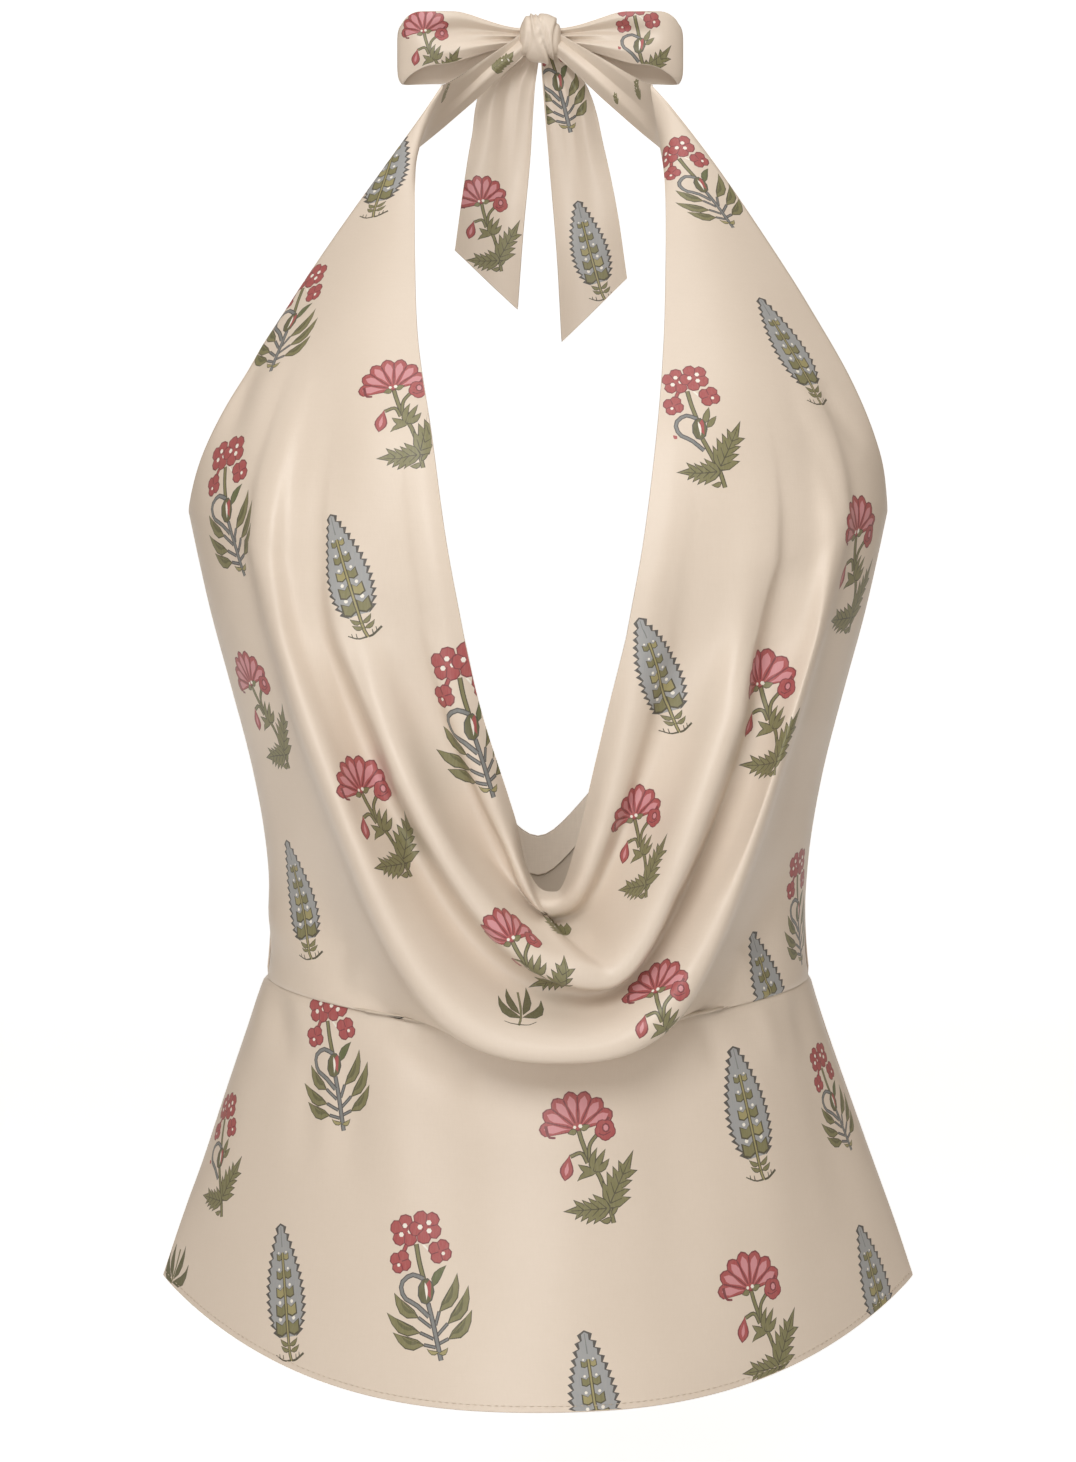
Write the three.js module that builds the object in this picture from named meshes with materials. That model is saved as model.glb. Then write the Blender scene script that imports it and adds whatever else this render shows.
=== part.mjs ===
// Halter neck top: cowl front on wide straps, low V back, flared peplum, and a bow tied at the nape.
import * as THREE from 'three';

// Sizes in millimetres. X is the viewer's right, Y is the back, Z is up.
// Points are worked out from the torso's axis, then moved so that the nape is the origin.
const NAPE_DEPTH = 54;
const CLOTH = 1.3;
const TIE_CLOTH = 1.2;
const FACING_CLOTH = 1;
const SEAM_GAP = 0.3;

// How finely each piece is divided.
const STRAP_STEPS = 12;
const SEAM_STEPS = 10;
const ROWS_PER_FOLD = 2;
const BACK_ROWS = 10;
const PEPLUM_ROWS = 8;
const TIE_STEPS = 12;
const TIE_ROWS = 5;
const LOOP_STEPS = 26;
const LOOP_ROWS = 5;
const TAIL_STEPS = 12;
const TAIL_ROWS = 6;
const KNOT_RINGS = 10;
const KNOT_STEPS = 18;
const FACING_ROWS = 2;

// Half widths of the garment seen from the front, from underarm to hem.
const SIDE_LINE = [
  { at: -211, half: 152.4 },
  { at: -230, half: 148.4 },
  { at: -257, half: 142.4 },
  { at: -285, half: 135 },
  { at: -319, half: 126.3 },
  { at: -350, half: 120.5 },
  { at: -372, half: 118.3 },
  { at: -390, half: 117.9 },
  { at: -406, half: 118.8 },
  { at: -415, half: 120 },
  { at: -429, half: 124 },
  { at: -449, half: 130.7 },
  { at: -488, half: 144.6 },
  { at: -525, half: 158 },
  { at: -549, half: 166 },
];

// How far the body's front and back stand from the side seams, and how square its sections are.
const DEPTH_LINE = [
  { at: -190, front: 115, back: 92, square: 2.7 },
  { at: -235, front: 120, back: 94, square: 2.7 },
  { at: -262, front: 118, back: 94, square: 2.6 },
  { at: -300, front: 112, back: 91, square: 2.5 },
  { at: -340, front: 105, back: 88, square: 2.4 },
  { at: -380, front: 98, back: 86, square: 2.3 },
  { at: -415, front: 93, back: 85, square: 2.2 },
  { at: -428, front: 92, back: 85, square: 2.2 },
];

// The two edges of the straps, from the side of the neck (0) to the level of the underarm (1).
const STRAP_EDGES = [
  {
    at: 0, neckLeft: -52.4, neckRight: 53.3, neckY: 0, neckZ: -53,
    armLeft: -41, armRight: 49, armY: 3, armZ: -25,
  },
  {
    at: 0.12, neckLeft: -53, neckRight: 54.3, neckY: -14, neckZ: -62,
    armLeft: -50, armRight: 60, armY: -3, armZ: -37,
  },
  {
    at: 0.27, neckLeft: -53, neckRight: 55, neckY: -34, neckZ: -79,
    armLeft: -67, armRight: 78, armY: -12, armZ: -61,
  },
  {
    at: 0.42, neckLeft: -52.5, neckRight: 54.5, neckY: -59, neckZ: -105,
    armLeft: -89, armRight: 99, armY: -25, armZ: -93,
  },
  {
    at: 0.57, neckLeft: -50.5, neckRight: 53, neckY: -83, neckZ: -140,
    armLeft: -109, armRight: 118, armY: -35, armZ: -124,
  },
  {
    at: 0.72, neckLeft: -44.5, neckRight: 49.5, neckY: -100, neckZ: -179,
    armLeft: -128.5, armRight: 135.5, armY: -33, armZ: -156,
  },
  {
    at: 0.87, neckLeft: -38.5, neckRight: 44, neckY: -110, neckZ: -222,
    armLeft: -144.5, armRight: 148, armY: -20, armZ: -187,
  },
  {
    at: 1, neckLeft: -31, neckRight: 37, neckY: -112, neckZ: -262,
    armLeft: -152.4, armRight: 152.4, armY: 0, armZ: -211,
  },
];

// Where the neck edge would go on down if the cowl did not turn across.
const INNER_LINE = [
  { at: -262, left: -31, right: 37 },
  { at: -294, left: -24, right: 30 },
  { at: -330, left: -15, right: 23 },
  { at: -370, left: -7, right: 16 },
  { at: -400, left: -2, right: 12 },
  { at: -445, left: 0, right: 10 },
];

// The lines that hang across the cowl, from the neck edge to the seams at the side and the waist.
// left and right are the share of the way from the neck edge to the side where each line comes down.
// x, y and z are its lowest point, square is how square its bend is, rise is how far it climbs to the sides.
// begin and full are the parts of the way down at which it starts to stand off the body and stands off fully.
const COWL_LINES = [
  {
    name: 'neck edge', left: 0, right: 0, square: 2,
    x: 8, y: -92, z: -362, rise: 0, begin: 0.18, full: 0.73,
  },
  {
    name: 'neck roll', left: 0.07, right: 0.09, square: 2,
    x: 8, y: -104, z: -366, rise: 0, begin: 0.18, full: 0.73,
  },
  {
    name: 'small fold', left: 0.14, right: 0.19, square: 2,
    x: 8, y: -107, z: -375, rise: 0, begin: 0.18, full: 0.73,
  },
  {
    name: 'small valley', left: 0.2, right: 0.27, square: 2,
    x: 9, y: -97, z: -378, rise: 0, begin: 0.18, full: 0.73,
  },
  {
    name: 'middle slope', left: 0.31, right: 0.36, square: 2,
    x: 12, y: -112, z: -388, rise: 0, begin: 0.18, full: 0.73,
  },
  {
    name: 'middle crest', left: 0.41, right: 0.46, square: 2,
    x: 16, y: -122, z: -400, rise: 0, begin: 0.18, full: 0.73,
  },
  {
    name: 'middle fold', left: 0.48, right: 0.54, square: 2.1,
    x: 20, y: -121, z: -409, rise: 0, begin: 0.18, full: 0.73,
  },
  {
    name: 'middle valley', left: 0.53, right: 0.6, square: 2.2,
    x: 19, y: -106, z: -411, rise: 0, begin: 0.18, full: 0.73,
  },
  {
    name: 'low slope', left: 0.58, right: 0.66, square: 2.2,
    x: 16, y: -118, z: -422, rise: 0, begin: 0.18, full: 0.73,
  },
  {
    name: 'low crest', left: 0.63, right: 0.72, square: 2.3,
    x: 14, y: -128, z: -431, rise: 0, begin: 0.18, full: 0.73,
  },
  {
    name: 'low fold', left: 0.68, right: 0.77, square: 2.4,
    x: 13, y: -125, z: -440, rise: 0, begin: 0.18, full: 0.73,
  },
  {
    name: 'low tuck', left: 0.75, right: 0.82, square: 2.6,
    x: 9, y: -107, z: -437, rise: 2, begin: 0.62, full: 1,
  },
  {
    name: 'waist ease', left: 0.88, right: 0.91, square: 4,
    x: 4, y: -98, z: -430.5, rise: 7, begin: 0.7, full: 1,
  },
  {
    name: 'side ease', left: 0.96, right: 0.965, square: 8,
    x: 2, y: -95, z: -428.2, rise: 12, begin: 0.7, full: 1,
  },
  {
    name: 'seams', left: 1, right: 1, square: Infinity,
    x: 0, y: -92, z: -428, rise: 13, begin: 0.18, full: 0.73,
  },
];
const STRAP_SHARE = 1 / 3;
const SEAM_RISE = 13;
const STRAP_BULGE = 42;
const STRAP_BULGE_POWER = 2.2;
const BODY_BEGINS = 0.55;
const SEAM_EVENNESS = 0.2;

// The back's neckline and the hem.
const UNDERARM_Z = -211;
const WAIST_Z = -428;
const BACK_LOW_Z = -361;
const BACK_POINT = 0.09;
const HEM_FRONT_Z = -585;
const HEM_BACK_Z = -578;
const HEM_SIDE_Z = -549;
const HEM_FRONT = 125;
const HEM_BACK = 116;
const HEM_CURVE = 2.9;
const HEM_LENS = 0.87;
const FACING_DEPTH = 16;
const FACING_DROP = 0.6;
const SMALL_STEP = 0.01;

// The bow.
const KNOT_CENTRE = { x: 1, y: 62, z: 1 };
const KNOT_HALF = { x: 9.5, y: 8, z: 11 };
const KNOT_SQUARE = 3;
const TIE_FORWARD = 1.5;
const TIE_PINCH = 1.2;
const TIE_HALF_END = 8;
const TIE_ARC = 0.15;
const TIE_HUB_Y = 20;
const LOOP_REACH = 62;
const LOOP_BACK = 3.2;
const LOOP_BELLY = 7.5;
const LOOP_END_GAP = 2;
const LOOP_BEND = 1.6;
const LOOP_CROWN = 1.6;
const LOOP_WIDEST = 0.45;
const LOOP_LEVEL = 0.8;
const LOOP_HUB_X = 34;
const LOOP_HALF = { tip: 13.5, middle: 16.5, end: 8 };
const LOOP_DROOP = -5.5;
const TAIL_FOLD = 2.4;
const TAIL_FOLD_FADE = 0.6;
const TAIL_FOLD_FULL = 0.2;

const clamp = (value, low, high) => Math.min(high, Math.max(low, value));
const mix = (from, to, share) => from + (to - from) * share;
const ease = (low, high, value) => {
  const share = clamp((value - low) / (high - low), 0, 1);
  return share * share * (3 - 2 * share);
};

// Reads one column of a table at any place between its rows, as a smooth curve.
function read(table, column, place) {
  const rising = table[1].at > table[0].at ? 1 : -1;
  let row = 0;
  while (row < table.length - 2 && (place - table[row + 1].at) * rising > 0) row += 1;
  const here = table[row];
  const next = table[row + 1];
  const width = next.at - here.at;
  const share = clamp((place - here.at) / width, 0, 1);
  const slope = (index) => {
    const before = table[Math.max(0, index - 1)];
    const after = table[Math.min(table.length - 1, index + 1)];
    return (after[column] - before[column]) / (after.at - before.at);
  };
  const square = share * share;
  const cube = square * share;
  return (2 * cube - 3 * square + 1) * here[column]
    + (cube - 2 * square + share) * width * slope(row)
    + (3 * square - 2 * cube) * next[column]
    + (cube - square) * width * slope(row + 1);
}

const halfWidth = (z) => read(SIDE_LINE, 'half', z);

// The share of the full depth that a section has at a share of its half width.
const roundness = (share, square) => Math.pow(Math.max(0, 1 - Math.pow(Math.abs(share), square)), 1 / square);

const frontDepth = (x, z) => {
  const square = read(DEPTH_LINE, 'square', z);
  return -read(DEPTH_LINE, 'front', z) * roundness(x / halfWidth(z), square);
};

// The share of the half width at an even step out from the middle, closer together near the sides.
const seamShare = (step) => SEAM_EVENNESS * step + (1 - SEAM_EVENNESS) * Math.sin(step * Math.PI / 2);

// How far the plain front stands forward, share being the part of the way from the neck edge to the side.
function plainDepth(run, share, x, z) {
  if (run >= STRAP_SHARE) return frontDepth(x, z);
  const place = run / STRAP_SHARE;
  const flat = mix(read(STRAP_EDGES, 'neckY', place), read(STRAP_EDGES, 'armY', place), share);
  const bulged = flat - STRAP_BULGE * Math.pow(place, STRAP_BULGE_POWER) * Math.sin(Math.PI * share);
  return mix(bulged, frontDepth(x, z), ease(BODY_BEGINS, 1, place));
}

// One hanging line of the cowl at a place u from the left strap (-1) through the middle (0) to the right (1).
// Gives x, z, the share of the way across, and how far the cloth stands off the plain front.
function cowlLine(index, u) {
  const line = COWL_LINES[index];
  const onLeft = u < 0;
  const side = onLeft ? 'left' : 'right';
  const run = 1 - Math.abs(u);
  const fullness = ease(line.begin, line.full, run);
  const off = (line.y - frontDepth(line.x, line.z)) * fullness;
  const topX = (share, place) => mix(
    read(STRAP_EDGES, onLeft ? 'neckLeft' : 'neckRight', place),
    read(STRAP_EDGES, onLeft ? 'armLeft' : 'armRight', place),
    share,
  );
  const topZ = (share, place) => mix(
    read(STRAP_EDGES, 'neckZ', place),
    read(STRAP_EDGES, 'armZ', place),
    share,
  );
  if (run <= STRAP_SHARE) {
    const place = run / STRAP_SHARE;
    const even = index / (COWL_LINES.length - 1);
    const share = mix(even, line[side], ease(0, 1, place));
    return [topX(share, place), topZ(share, place), share, off];
  }
  const share = line[side];
  const turn = 2 * (run - STRAP_SHARE) / (1 - STRAP_SHARE);
  const across = turn <= 1 ? 1 : seamShare(2 - turn);
  const down = Math.min(turn, 1);
  const round = line.square === Infinity
    ? 1
    : Math.pow(Math.pow(across, line.square) + Math.pow(down, line.square), 1 / line.square);
  const c = across / round;
  const a = down / round;
  const startZ = topZ(share, 1);
  const z = startZ - (startZ - line.z) * a + line.rise * c * c * a * a;
  const guide = (level) => mix(read(INNER_LINE, side, level), halfWidth(level) * (onLeft ? -1 : 1), share);
  const comingDown = topX(share, 1) + guide(z) - guide(startZ);
  return [line.x + (comingDown - line.x) * c, z, share, off];
}

// A point of the front, v from the neck edge (0) to the seams (1), as a smooth curve through the lines.
function frontPoint(u, v) {
  const last = COWL_LINES.length - 1;
  const place = clamp(v, 0, 1) * last;
  const index = Math.min(last - 1, Math.floor(place));
  const share = place - index;
  const here = cowlLine(index, u);
  const next = cowlLine(index + 1, u);
  const before = index > 0 ? cowlLine(index - 1, u) : here.map((value, k) => 2 * value - next[k]);
  const after = index < last - 1 ? cowlLine(index + 2, u) : next.map((value, k) => 2 * value - here[k]);
  const square = share * share;
  const cube = square * share;
  const [x, z, across, off] = here.map((value, k) => (
    before[k] * (-cube + 2 * square - share)
    + value * (3 * cube - 5 * square + 2)
    + next[k] * (-3 * cube + 4 * square + share)
    + after[k] * (cube - square)
  ) / 2);
  return new THREE.Vector3(x, plainDepth(1 - Math.abs(u), across, x, z) + off, z);
}

// Turns a grid of points into a closed wall. The points are its outer face, hub is a point inside.
// trim may turn the direction in which the wall's thickness goes at an edge.
function wall(grid, thickness, hub, trim = () => {}) {
  const rows = grid.length;
  const columns = grid[0].length;
  const normals = grid.map((line, i) => line.map((point, j) => {
    const along = grid[i][Math.min(columns - 1, j + 1)].clone().sub(grid[i][Math.max(0, j - 1)]);
    const over = grid[Math.min(rows - 1, i + 1)][j].clone().sub(grid[Math.max(0, i - 1)][j]);
    return along.cross(over).normalize();
  }));
  let facing = 0;
  grid.forEach((line, i) => line.forEach((point, j) => {
    facing += normals[i][j].dot(point.clone().sub(hub(point)));
  }));
  const sign = facing < 0 ? -1 : 1;
  const corners = [];
  grid.forEach((line, i) => line.forEach((point, j) => {
    const normal = normals[i][j].multiplyScalar(sign);
    trim(normal, i, j);
    normal.normalize();
    corners.push(point, point.clone().addScaledVector(normal, -thickness));
  }));
  const corner = (i, j, inner) => 2 * (i * columns + j) + inner;
  const faces = [];
  const quad = (a, b, c, d) => faces.push(a, b, c, a, c, d);
  for (let i = 0; i < rows - 1; i += 1) {
    for (let j = 0; j < columns - 1; j += 1) {
      quad(corner(i, j, 0), corner(i, j + 1, 0), corner(i + 1, j + 1, 0), corner(i + 1, j, 0));
      quad(corner(i, j, 1), corner(i + 1, j, 1), corner(i + 1, j + 1, 1), corner(i, j + 1, 1));
    }
  }
  const end = rows - 1;
  const side = columns - 1;
  for (let j = 0; j < columns - 1; j += 1) {
    quad(corner(0, j, 0), corner(0, j, 1), corner(0, j + 1, 1), corner(0, j + 1, 0));
    quad(corner(end, j, 0), corner(end, j + 1, 0), corner(end, j + 1, 1), corner(end, j, 1));
  }
  for (let i = 0; i < rows - 1; i += 1) {
    quad(corner(i, 0, 0), corner(i + 1, 0, 0), corner(i + 1, 0, 1), corner(i, 0, 1));
    quad(corner(i, side, 0), corner(i, side, 1), corner(i + 1, side, 1), corner(i + 1, side, 0));
  }
  return closed(corners, faces);
}

// Makes a geometry from corners and faces, turned so that the faces look outwards.
function closed(corners, faces) {
  let volume = 0;
  for (let f = 0; f < faces.length; f += 3) {
    volume += corners[faces[f]].dot(corners[faces[f + 1]].clone().cross(corners[faces[f + 2]]));
  }
  const index = faces.slice();
  if (volume < 0) index.reverse();
  const positions = [];
  corners.forEach((point) => positions.push(point.x, point.y - NAPE_DEPTH, point.z));
  const geometry = new THREE.BufferGeometry();
  geometry.setAttribute('position', new THREE.Float32BufferAttribute(positions, 3));
  geometry.setIndex(index);
  geometry.computeVertexNormals();
  return geometry;
}

const torsoAxis = (point) => new THREE.Vector3(0, 0, point.z);

// Places along the front from the left strap's top to the right strap's top.
function frontPlaces() {
  const places = [];
  for (let step = 0; step <= STRAP_STEPS; step += 1) places.push(STRAP_SHARE * step / STRAP_STEPS);
  for (let step = 1; step <= 2 * SEAM_STEPS; step += 1) {
    places.push(STRAP_SHARE + (1 - STRAP_SHARE) * step / (2 * SEAM_STEPS));
  }
  const left = places.map((run) => run - 1);
  const right = places.slice(0, -1).reverse().map((run) => 1 - run);
  return left.concat(right);
}

function frontBodice() {
  const places = frontPlaces();
  const rows = (COWL_LINES.length - 1) * ROWS_PER_FOLD;
  const grid = [];
  for (let row = 0; row <= rows; row += 1) grid.push(places.map((u) => frontPoint(u, row / rows)));
  const corner = STRAP_STEPS + SEAM_STEPS;
  const lastPlace = places.length - 1;
  return wall(grid, CLOTH, torsoAxis, (normal, i, j) => {
    const fromTop = Math.min(j, lastPlace - j);
    if (fromTop === 0) normal.y = 0;
    if (i === rows && fromTop > STRAP_STEPS && fromTop <= corner) normal.y = 0;
    if (i === rows && fromTop >= corner) normal.z = 0;
  });
}

// The shares of the half width at which the front meets the waist seam.
function waistShares() {
  const shares = [];
  for (let step = 0; step <= SEAM_STEPS; step += 1) {
    shares.push(-seamShare(1 - step / SEAM_STEPS));
  }
  return shares.concat(shares.slice(0, -1).reverse().map((share) => -share));
}

const waistSeamZ = (share) => WAIST_Z + SEAM_RISE * share * share;

function backPoint(share, down) {
  const top = BACK_LOW_Z + (UNDERARM_Z - BACK_LOW_Z)
    * (Math.hypot(share, BACK_POINT) - BACK_POINT) / (Math.hypot(1, BACK_POINT) - BACK_POINT);
  const drop = UNDERARM_Z - WAIST_Z;
  const along = (drop * down - SEAM_RISE * down * down) / (drop - SEAM_RISE);
  const z = mix(top, waistSeamZ(share), along);
  const depth = read(DEPTH_LINE, 'back', z) * roundness(share, read(DEPTH_LINE, 'square', z));
  return new THREE.Vector3(share * halfWidth(z), SEAM_GAP + depth, z);
}

function backBodice() {
  const shares = waistShares();
  const grid = [];
  for (let row = 0; row <= BACK_ROWS; row += 1) {
    grid.push(shares.map((share) => backPoint(share, row / BACK_ROWS)));
  }
  return wall(grid, CLOTH, torsoAxis, (normal, i, j) => {
    if (j === 0 || j === shares.length - 1) normal.y = 0;
    if (i === BACK_ROWS) normal.z = 0;
  });
}

// The narrow turned edge inside the back's neckline.
function backFacing() {
  const shares = waistShares().slice(1, -1);
  const inset = CLOTH + SEAM_GAP;
  const grid = [];
  for (let row = 0; row <= FACING_ROWS; row += 1) {
    grid.push(shares.map((share) => {
      const top = backPoint(share, 0);
      const low = backPoint(share, 1);
      const down = (FACING_DROP + FACING_DEPTH * row / FACING_ROWS) / (top.z - low.z);
      const point = backPoint(share, down);
      const along = backPoint(share + SMALL_STEP, down).sub(backPoint(share - SMALL_STEP, down));
      const over = backPoint(share, down + SMALL_STEP).sub(backPoint(share, down - SMALL_STEP));
      const normal = along.cross(over).normalize();
      if (normal.y < 0) normal.negate();
      return point.addScaledVector(normal, -inset);
    }));
  }
  return wall(grid, FACING_CLOTH, torsoAxis);
}

function peplumPoint(share, down, facing) {
  const hemMiddle = facing < 0 ? HEM_FRONT_Z : HEM_BACK_Z;
  const hemZ = hemMiddle + (HEM_SIDE_Z - hemMiddle) * Math.pow(Math.abs(share), HEM_CURVE);
  const sideZ = mix(waistSeamZ(1), HEM_SIDE_Z, down);
  const z = mix(waistSeamZ(share) - SEAM_GAP, hemZ, down);
  const waist = read(DEPTH_LINE, facing < 0 ? 'front' : 'back', waistSeamZ(share));
  const square = read(DEPTH_LINE, 'square', waistSeamZ(share));
  const atWaist = waist * roundness(share, square);
  const atHem = (facing < 0 ? HEM_FRONT : HEM_BACK) * Math.pow(Math.max(0, 1 - share * share), HEM_LENS);
  const y = facing * mix(atWaist, atHem, down) + (facing > 0 ? SEAM_GAP : 0);
  return new THREE.Vector3(share * halfWidth(sideZ), y, z);
}

function peplum(facing) {
  const shares = waistShares();
  const grid = [];
  for (let row = 0; row <= PEPLUM_ROWS; row += 1) {
    grid.push(shares.map((share) => peplumPoint(share, row / PEPLUM_ROWS, facing)));
  }
  return wall(grid, CLOTH, torsoAxis, (normal, i, j) => {
    if (j === 0 || j === shares.length - 1) normal.y = 0;
    if (i === 0) normal.z = 0;
  });
}

// The run of a strap from the side of the neck round to the knot.
function neckTie(side) {
  const start = STRAP_EDGES[0];
  const neckX = side < 0 ? start.neckLeft : start.neckRight;
  const armX = side < 0 ? start.armLeft : start.armRight;
  const endX = KNOT_CENTRE.x + side * (KNOT_HALF.x + SEAM_GAP);
  const grid = [];
  for (let row = 0; row <= TIE_ROWS; row += 1) {
    const share = row / TIE_ROWS;
    const line = [];
    for (let step = 0; step <= TIE_STEPS; step += 1) {
      const turn = step / TIE_STEPS * Math.PI / 2;
      const startX = mix(neckX, armX, share);
      const startY = mix(start.neckY, start.armY, share) + SEAM_GAP;
      const startZ = mix(start.neckZ, start.armZ, share);
      const pinch = Math.sin(Math.PI * share) * TIE_PINCH * Math.sin(turn);
      line.push(new THREE.Vector3(
        mix(endX, startX, Math.cos(turn)),
        mix(startY, KNOT_CENTRE.y - TIE_FORWARD - pinch, Math.sin(turn)),
        mix(startZ, KNOT_CENTRE.z + TIE_HALF_END * (2 * share - 1), mix(1 - Math.cos(turn), Math.sin(turn), TIE_ARC)),
      ));
    }
    grid.push(line);
  }
  return wall(grid, TIE_CLOTH, (point) => new THREE.Vector3(0, TIE_HUB_Y, point.z), (normal, i, j) => {
    if (j === 0) normal.y = 0;
    if (j === TIE_STEPS) normal.x = 0;
  });
}

// A loop of the bow: the band goes out from the knot, turns, and comes back behind itself.
function bowLoop(side) {
  const tipX = KNOT_CENTRE.x + side * LOOP_REACH;
  const knotX = KNOT_CENTRE.x + side * (KNOT_HALF.x + SEAM_GAP);
  const grid = [];
  for (let row = 0; row <= LOOP_ROWS; row += 1) {
    const height = 2 * row / LOOP_ROWS - 1;
    const line = [];
    for (let step = 0; step <= LOOP_STEPS; step += 1) {
      const round = 2 * step / LOOP_STEPS - 1;
      const out = Math.abs(round);
      const wide = mix(LOOP_HALF.tip, LOOP_HALF.middle, ease(0, LOOP_WIDEST, out));
      const half = mix(wide, LOOP_HALF.end, ease(LOOP_WIDEST, 1, out));
      const middle = mix(LOOP_DROOP, KNOT_CENTRE.z, ease(0, LOOP_LEVEL, out));
      const belly = (LOOP_BELLY + (1 - height * height) * LOOP_CROWN) * Math.sin(Math.PI * round);
      line.push(new THREE.Vector3(
        tipX + (knotX - tipX) * Math.pow(out, LOOP_BEND),
        KNOT_CENTRE.y + LOOP_BACK + LOOP_END_GAP * round + belly,
        middle + half * height,
      ));
    }
    grid.push(line);
  }
  const hub = (point) => new THREE.Vector3(KNOT_CENTRE.x + side * LOOP_HUB_X, KNOT_CENTRE.y + LOOP_BACK, point.z);
  return wall(grid, TIE_CLOTH, hub, (normal, i, j) => {
    if (j === 0 || j === LOOP_STEPS) normal.x = 0;
  });
}

// The edges of the two hanging ends, from under the knot (0) to the slanting cut (1).
const TAILS = {
  left: [
    { at: 0, outer: -7, inner: 0.3, outerZ: -10.5, innerZ: -10.5, y: 64 },
    { at: 0.12, outer: -24, inner: -2, outerZ: -19, innerZ: -23, y: 69 },
    { at: 0.4, outer: -30, inner: -4, outerZ: -43, innerZ: -53, y: 72 },
    { at: 0.7, outer: -34, inner: -7, outerZ: -68, innerZ: -86, y: 70 },
    { at: 1, outer: -37.6, inner: -9.5, outerZ: -93.5, innerZ: -120, y: 73 },
  ],
  right: [
    { at: 0, outer: 9, inner: 1.7, outerZ: -10.5, innerZ: -10.5, y: 64 },
    { at: 0.12, outer: 22, inner: 3, outerZ: -22, innerZ: -25, y: 69 },
    { at: 0.4, outer: 30, inner: 6, outerZ: -48, innerZ: -60, y: 73 },
    { at: 0.7, outer: 36, inner: 9, outerZ: -77, innerZ: -98, y: 71 },
    { at: 1, outer: 40.3, inner: 11, outerZ: -106, innerZ: -134.6, y: 74 },
  ],
};

function bowTail(name) {
  const edges = TAILS[name];
  const grid = [];
  for (let row = 0; row <= TAIL_ROWS; row += 1) {
    const share = row / TAIL_ROWS;
    const line = [];
    for (let step = 0; step <= TAIL_STEPS; step += 1) {
      const place = step / TAIL_STEPS;
      const depth = TAIL_FOLD * (1 - TAIL_FOLD_FADE * place) * ease(0, TAIL_FOLD_FULL, place);
      const fold = depth * Math.sin(2 * Math.PI * share);
      line.push(new THREE.Vector3(
        mix(read(edges, 'inner', place), read(edges, 'outer', place), share),
        read(edges, 'y', place) + fold,
        mix(read(edges, 'innerZ', place), read(edges, 'outerZ', place), share),
      ));
    }
    grid.push(line);
  }
  return wall(grid, TIE_CLOTH, (point) => new THREE.Vector3(point.x, 0, point.z), (normal, i, j) => {
    if (j === 0) normal.z = 0;
  });
}

function bowKnot() {
  const power = 2 / KNOT_SQUARE;
  const bend = (value) => Math.sign(value) * Math.pow(Math.abs(value), power);
  const corners = [];
  for (let ring = 1; ring < KNOT_RINGS; ring += 1) {
    const tilt = Math.PI * ring / KNOT_RINGS;
    for (let step = 0; step < KNOT_STEPS; step += 1) {
      const turn = 2 * Math.PI * step / KNOT_STEPS;
      corners.push(new THREE.Vector3(
        KNOT_CENTRE.x + KNOT_HALF.x * bend(Math.sin(tilt)) * bend(Math.cos(turn)),
        KNOT_CENTRE.y + KNOT_HALF.y * bend(Math.sin(tilt)) * bend(Math.sin(turn)),
        KNOT_CENTRE.z + KNOT_HALF.z * bend(Math.cos(tilt)),
      ));
    }
  }
  const top = corners.length;
  corners.push(new THREE.Vector3(KNOT_CENTRE.x, KNOT_CENTRE.y, KNOT_CENTRE.z + KNOT_HALF.z));
  corners.push(new THREE.Vector3(KNOT_CENTRE.x, KNOT_CENTRE.y, KNOT_CENTRE.z - KNOT_HALF.z));
  const faces = [];
  for (let step = 0; step < KNOT_STEPS; step += 1) {
    const next = (step + 1) % KNOT_STEPS;
    faces.push(top, step, next);
    const low = (KNOT_RINGS - 2) * KNOT_STEPS;
    faces.push(top + 1, low + next, low + step);
    for (let ring = 0; ring < KNOT_RINGS - 2; ring += 1) {
      const here = ring * KNOT_STEPS;
      const below = here + KNOT_STEPS;
      faces.push(here + step, below + step, below + next, here + step, below + next, here + next);
    }
  }
  return closed(corners, faces);
}

const SATIN = 0xe2d0bc;
const FACING_SATIN = 0xeadccb;

function piece(name, geometry, colour) {
  const material = new THREE.MeshStandardMaterial({ name: `${name}_satin`, color: colour, roughness: 0.5 });
  const mesh = new THREE.Mesh(geometry, material);
  mesh.name = name;
  return mesh;
}

const top = new THREE.Group();
top.name = 'halter_neck_top';
top.add(piece('front_bodice', frontBodice(), SATIN));
top.add(piece('back_bodice', backBodice(), SATIN));
top.add(piece('back_facing', backFacing(), FACING_SATIN));
top.add(piece('front_peplum', peplum(-1), SATIN));
top.add(piece('back_peplum', peplum(1), SATIN));
top.add(piece('neck_tie_left', neckTie(-1), SATIN));
top.add(piece('neck_tie_right', neckTie(1), SATIN));
top.add(piece('bow_loop_left', bowLoop(-1), SATIN));
top.add(piece('bow_loop_right', bowLoop(1), SATIN));
top.add(piece('bow_knot', bowKnot(), SATIN));
top.add(piece('bow_tail_left', bowTail('left'), SATIN));
top.add(piece('bow_tail_right', bowTail('right'), SATIN));

export default top;
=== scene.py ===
import math

import bpy
import numpy as np
from bpy.props import FloatProperty, FloatVectorProperty, IntProperty, PointerProperty
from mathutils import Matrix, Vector
from mathutils.geometry import delaunay_2d_cdt

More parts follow.
